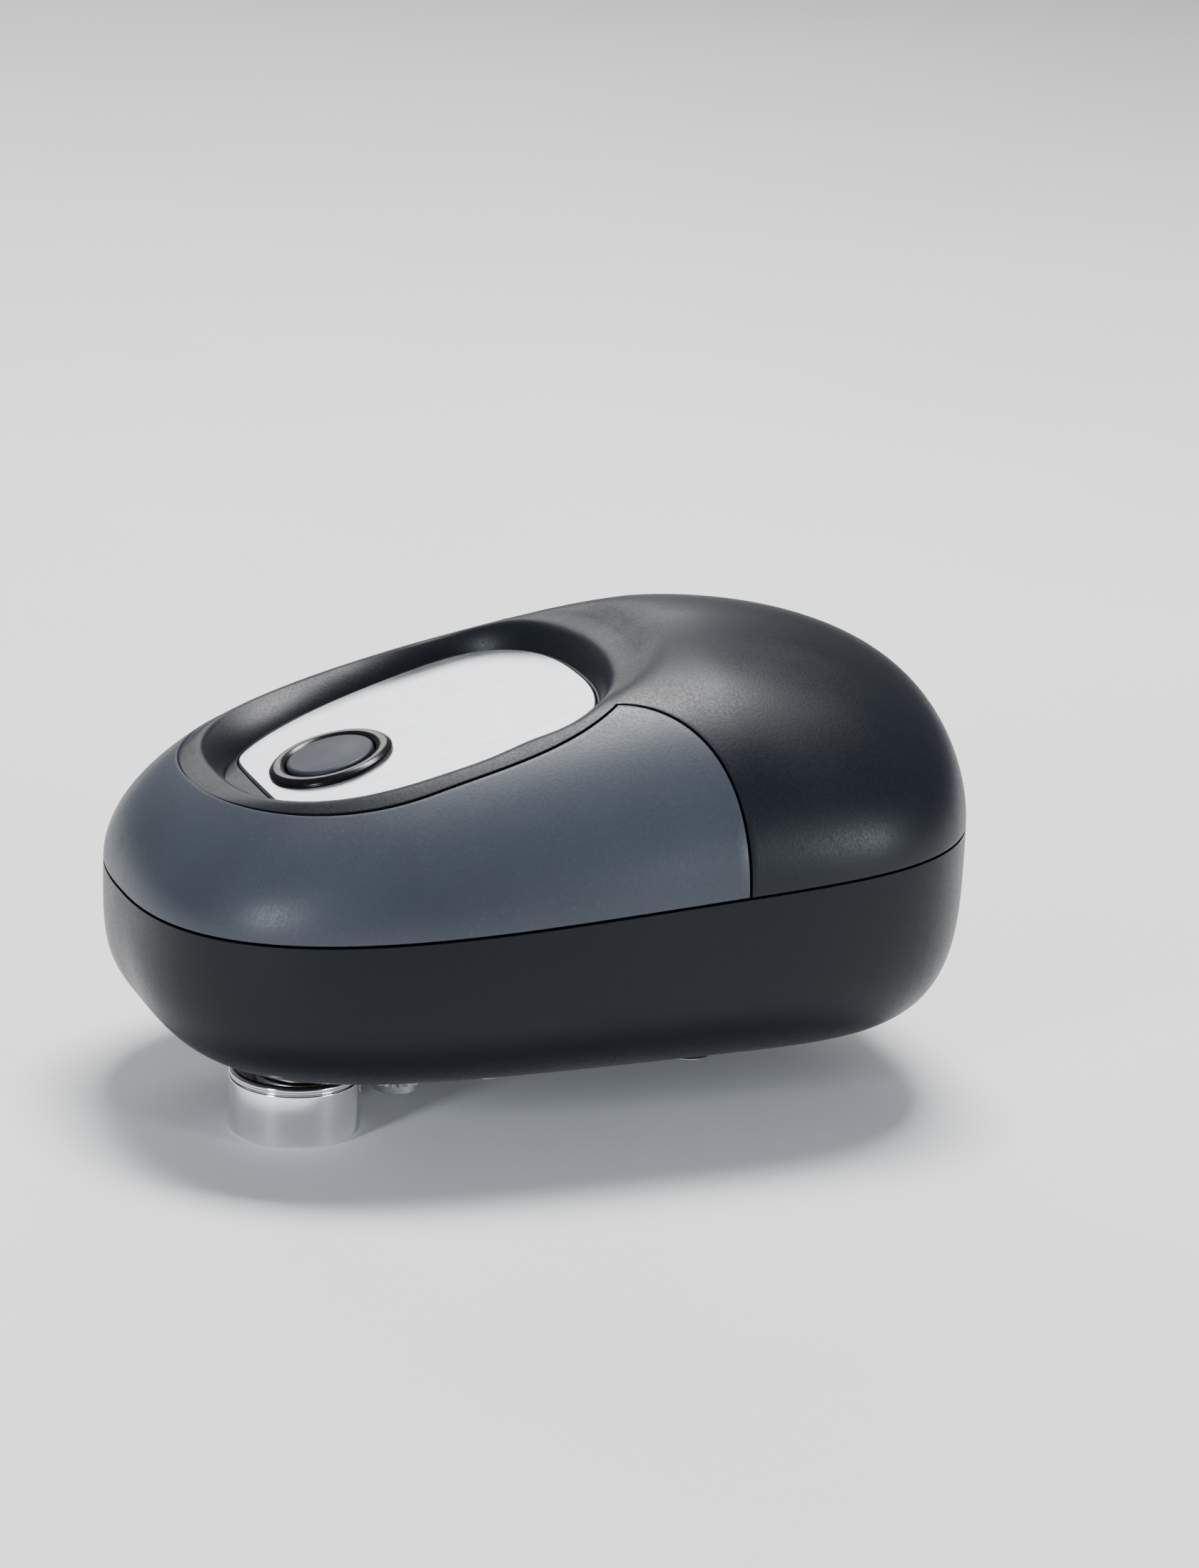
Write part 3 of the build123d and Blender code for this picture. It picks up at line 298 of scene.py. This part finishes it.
def lathe(name, profile, placement, material, columns=128):
    """A turned piece: a profile of (r, z) in mm, spun about the local Z of a placement."""
    vertices, faces, rows = [], [], []
    for radius, height in profile:
        if radius < 1e-6:
            rows.append([len(vertices)] * columns)
            vertices.append((0, 0, height))
            continue
        rows.append(list(range(len(vertices), len(vertices) + columns)))
        for i in range(columns):
            turn = 2 * pi * i / columns
            vertices.append((radius * cos(turn), radius * sin(turn), height))
    for first, second in zip(rows, rows[1:]):
        for face in strip(first, second, True):
            kept = tuple(dict.fromkeys(face))
            if len(kept) > 2:
                faces.append(kept)
    if rows[0] != [rows[0][0]] * columns and profile[0] == profile[-1]:
        size = len(vertices) - columns
        faces = [tuple(v - size if v >= size else v for v in face) for face in faces]
        vertices = vertices[:size]
    piece = new_object(name, vertices, faces, material)
    piece.data.transform(placement)
    return piece


def finish_piece(piece, body, nodes):
    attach(piece, body)
    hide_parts(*nodes)


# ---------------------------------------------------------------- materials
class Recipe:
    """Builds one procedural material node by node."""

    def __init__(self, name, metallic, roughness, coat=0.0, coat_roughness=0.1, specular=0.5):
        self.material = bpy.data.materials.new(name)
        self.material.use_nodes = True
        self.tree = self.material.node_tree
        self.shader = self.tree.nodes["Principled BSDF"]
        self.shader.inputs["Metallic"].default_value = metallic
        self.shader.inputs["Roughness"].default_value = roughness
        self.shader.inputs["Coat Weight"].default_value = coat
        self.shader.inputs["Coat Roughness"].default_value = coat_roughness
        self.shader.inputs["Specular IOR Level"].default_value = specular
        self.coordinates = self.tree.nodes.new("ShaderNodeTexCoord").outputs["Object"]

    def link(self, output, target):
        self.tree.links.new(output, target)

    def noise(self, scale, detail=3.0, stretch=(1, 1, 1), rough=0.5):
        mapping = self.tree.nodes.new("ShaderNodeMapping")
        mapping.inputs["Scale"].default_value = stretch
        self.link(self.coordinates, mapping.inputs["Vector"])
        noise = self.tree.nodes.new("ShaderNodeTexNoise")
        noise.inputs["Scale"].default_value = scale
        noise.inputs["Detail"].default_value = detail
        noise.inputs["Roughness"].default_value = rough
        self.link(mapping.outputs["Vector"], noise.inputs["Vector"])
        return noise.outputs["Fac"]

    def spread(self, value, low, high, to_low, to_high):
        node = self.tree.nodes.new("ShaderNodeMapRange")
        node.inputs["From Min"].default_value = low
        node.inputs["From Max"].default_value = high
        node.inputs["To Min"].default_value = to_low
        node.inputs["To Max"].default_value = to_high
        self.link(value, node.inputs["Value"])
        return node.outputs["Result"]

    def add(self, first, second, operation="ADD"):
        node = self.tree.nodes.new("ShaderNodeMath")
        node.operation = operation
        self.link(first, node.inputs[0])
        self.link(second, node.inputs[1])
        return node.outputs["Value"]

    def ramp(self, value, stops):
        node = self.tree.nodes.new("ShaderNodeValToRGB")
        elements = node.color_ramp.elements
        elements[0].position, elements[1].position = stops[0][0], stops[-1][0]
        elements[0].color, elements[1].color = (*stops[0][1], 1), (*stops[-1][1], 1)
        for position, colour in stops[1:-1]:
            elements.new(position).color = (*colour, 1)
        self.link(value, node.inputs["Fac"])
        return node.outputs["Color"]

    def mix(self, factor, first, second, kind="MIX"):
        """Mix two colours, each a socket or a plain colour."""
        node = self.tree.nodes.new("ShaderNodeMix")
        node.data_type = "RGBA"
        node.blend_type = kind
        for value, target in ((factor, node.inputs[0]), (first, node.inputs[6]), (second, node.inputs[7])):
            if isinstance(value, (int, float)):
                target.default_value = value
            elif isinstance(value, tuple):
                target.default_value = (*value, 1)
            else:
                self.link(value, target)
        return node.outputs[2]

    def edges(self, low=0.52, high=0.6):
        """How much of an outer edge a point is on, for wear."""
        geometry = self.tree.nodes.new("ShaderNodeNewGeometry")
        return self.spread(geometry.outputs["Pointiness"], low, high, 0.0, 1.0)

    def bump(self, height, strength, distance):
        node = self.tree.nodes.new("ShaderNodeBump")
        node.inputs["Strength"].default_value = strength
        node.inputs["Distance"].default_value = distance
        self.link(height, node.inputs["Height"])
        self.link(node.outputs["Normal"], self.shader.inputs["Normal"])

    def colour(self, socket):
        self.link(socket, self.shader.inputs["Base Color"])

    def roughness(self, socket):
        self.link(socket, self.shader.inputs["Roughness"])


def scaled(colour, factor):
    return tuple(min(channel * factor, 1.0) for channel in colour)


def grained_plastic(name, colour, roughness, grain=2600.0, sparkle=0.5, bump=0.12, specular=0.5, wear=0.25):
    """Moulded plastic: eroded fine grain, fine specks lightened as painted glints (sparkle), soft
    cloudiness and paler edges.
    """
    recipe = Recipe(name, 0.0, roughness, specular=specular)
    fine = recipe.noise(grain, 2.0)
    cloud = recipe.noise(38.0, 4.0)
    tone = recipe.ramp(cloud, [(0.3, scaled(colour, 0.88)), (0.7, scaled(colour, 1.12))])
    # Painted glints: fine specks lightened in the base colour stand in for the grain's sparkle.
    painted_glints = recipe.spread(recipe.noise(grain * 0.8, 1.0), 0.6, 0.78, 0.0, sparkle)
    tone = recipe.mix(painted_glints, tone, scaled(colour, 1.7))
    worn = recipe.add(recipe.edges(), recipe.spread(cloud, 0.35, 0.7, 0.0, wear), "MULTIPLY")
    recipe.colour(recipe.mix(worn, tone, scaled(colour, 2.2)))
    smear = recipe.noise(65.0, 3.0, (1.0, 2.5, 1.0))
    recipe.roughness(recipe.add(
        recipe.spread(fine, 0.3, 0.7, roughness - 0.05, roughness + 0.05),
        recipe.spread(smear, 0.3, 0.7, -0.03, 0.04),
    ))
    recipe.bump(fine, bump, 0.00012)
    return recipe.material


def brushed_metal(name, colour, roughness, stretch, fineness=420.0, bump=0.08, contrast=0.16):
    """Metal with long fine scratches along one direction."""
    recipe = Recipe(name, 1.0, roughness)
    streaks = recipe.noise(fineness, 5.0, stretch, 0.62)
    broad = recipe.noise(fineness * 0.18, 3.0, stretch)
    both = recipe.add(
        recipe.spread(streaks, 0.25, 0.75, 0.0, 0.7),
        recipe.spread(broad, 0.3, 0.7, 0.0, 0.3),
    )
    dark, light = scaled(colour, 1 - contrast), scaled(colour, 1 + contrast / 2)
    recipe.colour(recipe.ramp(both, [(0.2, dark), (0.8, light)]))
    recipe.roughness(recipe.spread(both, 0.1, 0.9, roughness - 0.03, roughness + 0.04))
    recipe.bump(both, bump, 0.00004)
    return recipe.material


def turned_steel(name, colour, roughness):
    """Polished, hardened steel with fine turning lines and faint handling marks."""
    recipe = Recipe(name, 1.0, roughness)
    lines = recipe.noise(700.0, 3.0, (0.05, 0.05, 1.0), 0.6)
    marks = recipe.noise(120.0, 5.0)
    recipe.colour(recipe.ramp(marks, [(0.3, scaled(colour, 0.93)), (0.7, scaled(colour, 1.05))]))
    recipe.roughness(recipe.add(
        recipe.spread(lines, 0.3, 0.7, roughness - 0.03, roughness + 0.04),
        recipe.spread(marks, 0.45, 0.8, 0.0, 0.06),
    ))
    recipe.bump(lines, 0.05, 0.00003)
    return recipe.material


def glossy(name, colour, roughness, specular):
    """Polished plastic with the faintest waviness and dust."""
    recipe = Recipe(name, 0.0, roughness, specular=specular)
    dust = recipe.spread(recipe.noise(1900.0, 2.0), 0.68, 0.8, 0.0, 0.25)
    tone = recipe.ramp(recipe.noise(60.0, 3.0), [(0.3, scaled(colour, 0.85)), (0.7, scaled(colour, 1.15))])
    recipe.colour(recipe.mix(dust, tone, scaled(colour, 3.0)))
    recipe.roughness(recipe.spread(recipe.noise(240.0, 4.0), 0.3, 0.7, roughness, roughness + 0.08))
    recipe.bump(recipe.noise(90.0, 2.0), 0.05, 0.0001)
    return recipe.material


def sintered(name, colour, metallic, roughness):
    """Pressed and sintered stock: pitted, with darker pores and rubbed edges."""
    recipe = Recipe(name, metallic, roughness)
    pores = recipe.spread(recipe.noise(3200.0, 3.0), 0.55, 0.72, 0.0, 1.0)
    tone = recipe.ramp(recipe.noise(150.0, 4.0), [(0.3, scaled(colour, 0.8)), (0.7, scaled(colour, 1.15))])
    tone = recipe.mix(pores, tone, scaled(colour, 0.45))
    recipe.colour(recipe.mix(recipe.edges(), tone, scaled(colour, 1.5)))
    recipe.roughness(recipe.spread(pores, 0.0, 1.0, roughness, min(roughness + 0.25, 1.0)))
    recipe.bump(pores, -0.2, 0.00008)
    return recipe.material


def laminate(name, colour):
    """Circuit board: glass weave showing through a green solder mask."""
    recipe = Recipe(name, 0.0, 0.35, 0.4, 0.15)
    warp = recipe.noise(900.0, 1.0, (1.0, 0.12, 1.0))
    weft = recipe.noise(900.0, 1.0, (0.12, 1.0, 1.0))
    weave = recipe.add(warp, weft, "MULTIPLY")
    recipe.colour(recipe.ramp(weave, [(0.12, scaled(colour, 0.7)), (0.4, scaled(colour, 1.3))]))
    recipe.bump(weave, 0.15, 0.00006)
    return recipe.material


def foil_wrap(name, colour, band):
    """A cell's printed wrap: a plain dark sleeve with a metallic end band, no lettering."""
    recipe = Recipe(name, 0.25, 0.28, 0.5, 0.08)
    separate = recipe.tree.nodes.new("ShaderNodeSeparateXYZ")
    recipe.link(recipe.coordinates, separate.inputs["Vector"])
    ends = recipe.spread(separate.outputs["Y"], 0.0148, 0.0152, 0.0, 1.0)
    tone = recipe.ramp(recipe.noise(90.0, 3.0), [(0.3, scaled(colour, 0.85)), (0.7, scaled(colour, 1.2))])
    recipe.colour(recipe.mix(ends, tone, band))
    recipe.roughness(recipe.spread(recipe.noise(400.0, 4.0), 0.3, 0.7, 0.22, 0.36))
    return recipe.material


MATERIALS = {
    "soft_touch": grained_plastic("soft_touch", (0.006, 0.0078, 0.0115), 0.4, sparkle=0.35, specular=0.22),
    "slate_cover": grained_plastic("slate_cover", (0.036, 0.043, 0.056), 0.4, sparkle=0.3, specular=0.3),
    "base_shell": grained_plastic("base_shell", (0.0035, 0.0045, 0.0075), 0.36, sparkle=0.3, specular=0.18),
    "deck_steel": brushed_metal(
        "deck_steel", (0.7, 0.715, 0.745), 0.3, (0.02, 1.0, 1.0), fineness=2600.0, bump=0.04, contrast=0.2
    ),
    "ring_black": glossy("ring_black", (0.004, 0.004, 0.005), 0.2, 0.3),
    "button_slate": glossy("button_slate", (0.024, 0.029, 0.04), 0.42, 0.22),
    "inner_plastic": grained_plastic("inner_plastic", (0.3, 0.31, 0.32), 0.5, bump=0.06),
    "gear_plastic": grained_plastic("gear_plastic", (0.74, 0.72, 0.66), 0.38, sparkle=0.1, bump=0.04),
    "gear_steel": sintered("gear_steel", (0.42, 0.42, 0.44), 1.0, 0.38),
    "plate_steel": brushed_metal("plate_steel", (0.6, 0.61, 0.64), 0.32, (0.1, 1.0, 1.0), 300.0),
    "hard_steel": turned_steel("hard_steel", (0.83, 0.83, 0.85), 0.09),
    "bronze": sintered("bronze", (0.5, 0.34, 0.16), 1.0, 0.42),
    "magnet": sintered("magnet", (0.09, 0.09, 0.1), 0.4, 0.5),
    "board": laminate("board", (0.03, 0.2, 0.08)),
    "cell_wrap": foil_wrap("cell_wrap", (0.05, 0.055, 0.07), (0.5, 0.36, 0.16)),
    "contact": turned_steel("contact", (0.74, 0.72, 0.67), 0.2),
}

for subpart in frame["record"]["subparts"]:
    node = frame["nodes"].get(subpart["node"])
    if node is not None:
        node.data.materials.clear()
        node.data.materials.append(MATERIALS[subpart["material_slot"]])


# ---------------------------------------------------------------- top casing: collar, dish and hump
def collar_angles():
    """Ray angles round the collar: first past the nose, then round the rear, between the splits."""
    corner = split_angle(0.0, 0.0)
    front = np.linspace(corner, 2 * pi - corner, FRONT_COLUMNS + 1)
    rear = np.linspace(-corner, corner, REAR_COLUMNS + 1)
    return np.concatenate([front, rear[1:-1]])


def plate_reach(angles, margin):
    """The plate's outline: an egg with its front cut straight and its corners rounded."""
    outline = egg(-16.0 - margin, 37.2 + margin, 21.0, 21.8 + margin, 2.2, 2.45, BUTTON_X, DECK_TILT)
    sides = reach(angles, outline)
    front_x = BUTTON_X + (PLATE_FRONT - margin) * cos(DECK_TILT)
    forward = -np.cos(angles)
    straight = np.where(forward > 0.05, (CENTRE_X - front_x) / np.maximum(forward, 0.05), 500.0)
    return smooth_min(sides, straight, 1.6)


def sleeve_points(angles, radii, drop, radius):
    """Points on a circle round the button's axis, each facing an outline's point."""
    x, y = plan(angles, radii)
    centre_x = BUTTON_X + drop * sin(DECK_TILT)
    u = (x - centre_x) / cos(DECK_TILT)
    distance = np.hypot(u, y)
    x = centre_x + radius * u / distance * cos(DECK_TILT)
    return x, radius * y / distance


def shell_row(share, margin, columns, behind, height):
    """One row of the body's skin from split to split, either past the nose or round behind."""
    corner = split_angle(share, margin)
    start, end = (-corner, corner) if behind else (corner, 2 * pi - corner)
    x, y = shell_plan(np.linspace(start, end, columns + 1), share, margin)
    return np.column_stack([x, y, np.maximum(height(x, y), seam_z(x) + SEAM_GAP / 2)])


def dish_rings(angles):
    """Rings of points from the button's sleeve out over pocket, floor, wall and lip to the collar."""
    rings = []
    pocket = plate_reach(angles, PLATE_GAP)
    floor = reach(angles, DISH_FLOOR)
    foot_radii = np.maximum(floor, pocket + 0.35)
    rim = smooth_max(reach(angles, DISH_RIM), foot_radii + LEAST_DISH_SLOPE, 0.8)
    collar = reach(angles, collar_outline(0.0))

    x, y = sleeve_points(angles, pocket, POCKET_DROP, SLEEVE_RADIUS)
    rings.append(np.column_stack([x, y, deck_z(x, POCKET_DROP)]))
    broken_edge = ((pocket, 0.4), (pocket + POCKET_BREAK, 0.27))
    for radii, drop in ((pocket - 0.6, POCKET_DROP), (pocket, POCKET_DROP), *broken_edge):
        x, y = plan(angles, radii)
        rings.append(np.column_stack([x, y, deck_z(x, drop)]))
    for share in (0.3, 0.75):
        x, y = plan(angles, pocket + POCKET_BREAK + share * np.maximum(floor - pocket - 0.5, 0.02))
        rings.append(np.column_stack([x, y, deck_z(x, FLOOR_DROP)]))

    # The wall leaves the floor on a small arc, swells out, and rolls over into the lip.
    foot_x, foot_y = plan(angles, foot_radii)
    foot = np.column_stack([foot_x, foot_y, deck_z(foot_x, FLOOR_DROP)])
    edge_x, edge_y = plan(angles, rim)
    edge = np.column_stack([edge_x, edge_y, top_z(edge_x, edge_y) - LIP_ROLL_DROP - 0.05])
    for i in range(WALL_STEPS + 1):
        t = i / WALL_STEPS
        up = sin(t * pi / 2) ** 1.25
        out = 1 - cos(t * pi / 2) ** 1.1
        out = 0.55 * out + 0.45 * t
        x = foot[:, 0] + (edge[:, 0] - foot[:, 0]) * out
        y = foot[:, 1] + (edge[:, 1] - foot[:, 1]) * out
        z = foot[:, 2] + (edge[:, 2] - foot[:, 2]) * (0.35 * up + 0.65 * t)
        rings.append(np.column_stack([x, y, z]))
    for share in (0.1, 0.22, 0.36, 0.5, 0.62, 0.72, 0.81, 0.88, 0.94, 1.0):
        radii = rim + share * (collar - rim)
        x, y = plan(angles, radii)
        inward = np.clip(1 - (radii - rim) / LIP_ROLL, 0, 1)
        rings.append(np.column_stack([x, y, top_z(x, y) - LIP_ROLL_DROP * inward**2]))
    return rings


def top_casing():
    """The dark upper moulding: dish and collar in one piece with the hump and tail behind the splits."""
    rings = dish_rings(collar_angles())
    columns = len(rings[0])
    vertices = np.concatenate(rings)
    faces = []
    for i in range(len(rings) - 1):
        first = list(range(i * columns, (i + 1) * columns))
        second = [v + columns for v in first]
        faces += strip(first, second, True)

    # The rear shell carries on from the collar's rear arc, down to the seam.
    last = (len(rings) - 1) * columns
    row = [last + FRONT_COLUMNS + i for i in range(REAR_COLUMNS)] + [last]
    for k in range(1, SHELL_ROWS + 1):
        start = len(vertices)
        vertices = np.concatenate([vertices, shell_row(k / SHELL_ROWS, 0.0, REAR_COLUMNS, True, top_z)])
        below = list(range(start, start + REAR_COLUMNS + 1))
        faces += strip(row, below, False)
        row = below
    piece = new_object("upper_casing", vertices, faces, MATERIALS["soft_touch"])
    flip_if_needed(piece)
    thicken(piece, WALL, 0.32)
    smooth(piece)
    finish_piece(piece, "casing", ["top_casing"])


def flip_if_needed(piece):
    """Make the skin's normals point outwards, so that the wall grows inwards."""
    highest = max(piece.data.polygons, key=lambda face: face.center.z)
    if highest.normal.z < 0:
        piece.data.flip_normals()


# ---------------------------------------------------------------- front cover
def front_cover():
    """The slate-grey moulding round the nose, from split to split and from collar to seam."""
    vertices = []
    faces = []
    row = None
    for k in range(SHELL_ROWS + 1):
        start = len(vertices)
        vertices += list(shell_row(k / SHELL_ROWS, SEAM_GAP, FRONT_COLUMNS, False, body_top))
        below = list(range(start, start + FRONT_COLUMNS + 1))
        if row:
            faces += strip(row, below, False)
        row = below
    piece = new_object("slate_front_cover", vertices, faces, MATERIALS["slate_cover"])
    flip_if_needed(piece)
    thicken(piece, WALL, 0.28)
    smooth(piece)
    finish_piece(piece, "casing", ["front_cover"])


# ---------------------------------------------------------------- deck plate
def deck_plate():
    """The brushed plate: 1 mm sheet with a broken edge, holed for the button's sleeve."""
    angles = collar_angles()
    edge = plate_reach(angles, 0.0)
    thickness, break_edge = 1.0, 0.14
    rings = []
    for drop, inset in (
        (thickness, None), (thickness, 0.0), (0.16, 0.0), (0.1, 0.03), (0.04, 0.07), (0.0, break_edge),
        (0.0, 0.5), (0.0, 2.0), (0.0, None),
    ):
        if inset is None:
            x, y = sleeve_points(angles, edge, drop, SLEEVE_RADIUS)
        else:
            x, y = plan(angles, edge - inset)
        rings.append(np.column_stack([x, y, deck_z(x, drop)]))
    columns = len(angles)
    faces = []
    for i in range(len(rings)):
        first = list(range(i * columns, (i + 1) * columns))
        second = [((i + 1) % len(rings)) * columns + j for j in range(columns)]
        faces += strip(first, second, True)
    piece = new_object("brushed_plate", np.concatenate(rings), faces, MATERIALS["deck_steel"])
    outward(piece)
    smooth(piece, 25.0)
    finish_piece(piece, "casing", ["top_plate"])


def outward(piece):
    """Point the normals of a closed mesh outwards."""
    bpy.context.view_layer.objects.active = piece
    piece.select_set(True)
    bpy.ops.object.mode_set(mode="EDIT")
    bpy.ops.mesh.select_all(action="SELECT")
    bpy.ops.mesh.normals_make_consistent(inside=False)
    bpy.ops.object.mode_set(mode="OBJECT")
    piece.select_set(False)


# ---------------------------------------------------------------- button and its ring
DECK_CENTRE = Vector((BUTTON_X * MM, 0, (BASE_Z + DECK_HEIGHT) * MM))
DECK_PLACE = Matrix.Translation(DECK_CENTRE) @ Matrix.Rotation(-DECK_TILT, 4, "Y")


def button_parts():
    """The gloss ring round the button, and the slightly domed button that slides in it."""
    gap_radius, button_radius, ring_radius = 6.5, 6.2, 8.8
    ring_outline = [
        (gap_radius, -3.2), (SLEEVE_RADIUS - 0.05, -3.2), (SLEEVE_RADIUS - 0.05, 0.02), (ring_radius, 0.02),
        (ring_radius, 0.45), (ring_radius - 0.75, 1.0), (gap_radius + 0.7, 1.0), (gap_radius, 0.55),
        (gap_radius, -3.2),
    ]
    ring = lathe("button_bezel", rounded(ring_outline, 0.22), DECK_PLACE, MATERIALS["ring_black"])
    outward(ring)
    smooth(ring, 40.0)
    finish_piece(ring, "casing", ["button_ring"])

    flange, stem = 7.3, 2.0
    cap_top = 1.2
    below = [(0.0, -6.4), (stem, -6.4), (stem, -5.0), (flange, -5.0), (flange, -3.4)]
    side = [(button_radius, -3.4), (button_radius, cap_top - 0.55), (button_radius, cap_top - 0.5)]
    outline = rounded(below + side, 0.15, 2)
    for i in range(15):
        t = i / 14
        turn = t * pi / 2
        outline.append((button_radius - 0.75 * (1 - cos(turn)), cap_top - 0.5 + 0.42 * sin(turn)))
    for i in range(1, 13):
        share = 1 - i / 12
        radius = (button_radius - 0.75) * share
        outline.append((radius, cap_top - 0.08 + 0.3 * (1 - share**2)))
    cap = lathe("button_cap", outline, DECK_PLACE, MATERIALS["button_slate"])
    outward(cap)
    smooth(cap, 30.0)
    finish_piece(cap, "button", ["start_button"])


# ---------------------------------------------------------------- cutter wheel
def cutter():
    """The steel cutter wheel: recessed on both faces, with a groove under its upper edge."""
    low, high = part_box("cutter_wheel")
    spot = (low + high) / 2
    place = Matrix.Translation((spot.x, spot.y, 0))
    radius = (high.x - low.x) / 2 / MM
    top = BASE_Z - 0.46
    recess = BASE_Z - 1.25
    bore = 2.55
    outline = [
        (bore, recess), (8.2, recess), (8.2, top), (8.75, top),
        (radius - 0.05, top - 0.4), (radius - 0.05, top - 0.75),
        (radius - 0.3, top - 0.85), (radius - 0.3, top - 1.15),
        (radius - 0.02, top - 1.3), (radius, 0.62),
        (radius - 0.08, 0.5), (radius - 0.08, 0.42),
        (radius - 0.5, 0.0), (6.6, 0.0), (6.0, 0.4),
        (6.0, 1.6), (bore, 1.6), (bore, recess),
    ]
    wheel = lathe("cutter_roller", rounded(outline, 0.16), place, MATERIALS["hard_steel"], 160)
    outward(wheel)
    smooth(wheel, 32.0)
    finish_piece(wheel, "cutter", ["cutter_wheel"])


top_casing()
front_cover()
deck_plate()
button_parts()
cutter()

for name, node in frame["nodes"].items():
    node.data.shade_smooth()
    node.data.set_sharp_from_angle(angle=radians(28.0))

# ---------------------------------------------------------------- floor, lights and camera
floor_mesh = bpy.data.meshes.new("floor")
reach_out = 3.0
floor_mesh.from_pydata(
    [(-reach_out, -reach_out, 0), (reach_out, -reach_out, 0), (reach_out, reach_out, 0),
     (-reach_out, reach_out, 0)],
    [],
    [(0, 1, 2, 3)],
)
floor = bpy.data.objects.new("floor", floor_mesh)
bpy.context.scene.collection.objects.link(floor)
paper = Recipe("floor_paper", 0.0, 0.7)
paper.colour(paper.ramp(paper.noise(9.0, 3.0), [(0.3, (0.88, 0.88, 0.88)), (0.7, (0.92, 0.92, 0.92))]))
floor_mesh.materials.append(paper.material)

world = bpy.data.worlds.new("studio")
bpy.context.scene.world = world
world.use_nodes = True
world.node_tree.nodes["Background"].inputs["Color"].default_value = (0.93, 0.95, 1.0, 1)
world.node_tree.nodes["Background"].inputs["Strength"].default_value = 0.2


def area_light(name, place, aim, size, power, colour=(1, 1, 1)):
    light = bpy.data.lights.new(name, "AREA")
    light.shape = "RECTANGLE"
    light.size, light.size_y = size
    light.energy = power
    light.color = colour
    lamp = bpy.data.objects.new(name, light)
    lamp.location = place
    lamp.rotation_euler = (Vector(aim) - Vector(place)).to_track_quat("-Z", "Y").to_euler()
    bpy.context.scene.collection.objects.link(lamp)


area_light("overhead", (0.15, 0.2, 0.9), (0, 0, 0.04), (0.4, 0.22), 15.0)
area_light("back_card", (0.13, 1.05, 0.62), (0, 0, 0.05), (0.8, 0.3), 4.0)
area_light("left_box", (-0.85, -0.5, 0.3), (-0.02, 0, 0.03), (0.14, 0.3), 7.0, (0.85, 0.92, 1.0))
area_light("right_box", (0.62, -0.8, 0.22), (0.03, 0, 0.03), (0.3, 0.16), 5.0, (0.85, 0.92, 1.0))

# The camera stands where the opener is seen from, rolled a little and aimed past the opener.
CAMERA_DISTANCE = 0.7
CAMERA_AZIMUTH = radians(-21.0)
CAMERA_ELEVATION = radians(20.1)
CAMERA_ROLL = radians(1.95)
AIM_RIGHT = radians(0.875)
AIM_UP = radians(2.58)
target = Vector((0, 0, BASE_Z * MM))
back = Vector((
    sin(CAMERA_AZIMUTH) * cos(CAMERA_ELEVATION),
    -cos(CAMERA_AZIMUTH) * cos(CAMERA_ELEVATION),
    sin(CAMERA_ELEVATION),
))
lens_camera = bpy.data.cameras.new("camera")
lens_camera.sensor_width = 36.0
lens_camera.lens = 112.4
camera = bpy.data.objects.new("camera", lens_camera)
facing = back.to_track_quat("Z", "Y").to_matrix()
roll = Matrix.Rotation(CAMERA_ROLL, 3, "Z")
turn = roll @ Matrix.Rotation(-AIM_RIGHT, 3, "Y") @ Matrix.Rotation(AIM_UP, 3, "X")
camera.matrix_world = Matrix.Translation(target + back * CAMERA_DISTANCE) @ (facing @ turn).to_4x4()
bpy.context.scene.collection.objects.link(camera)
bpy.context.scene.camera = camera
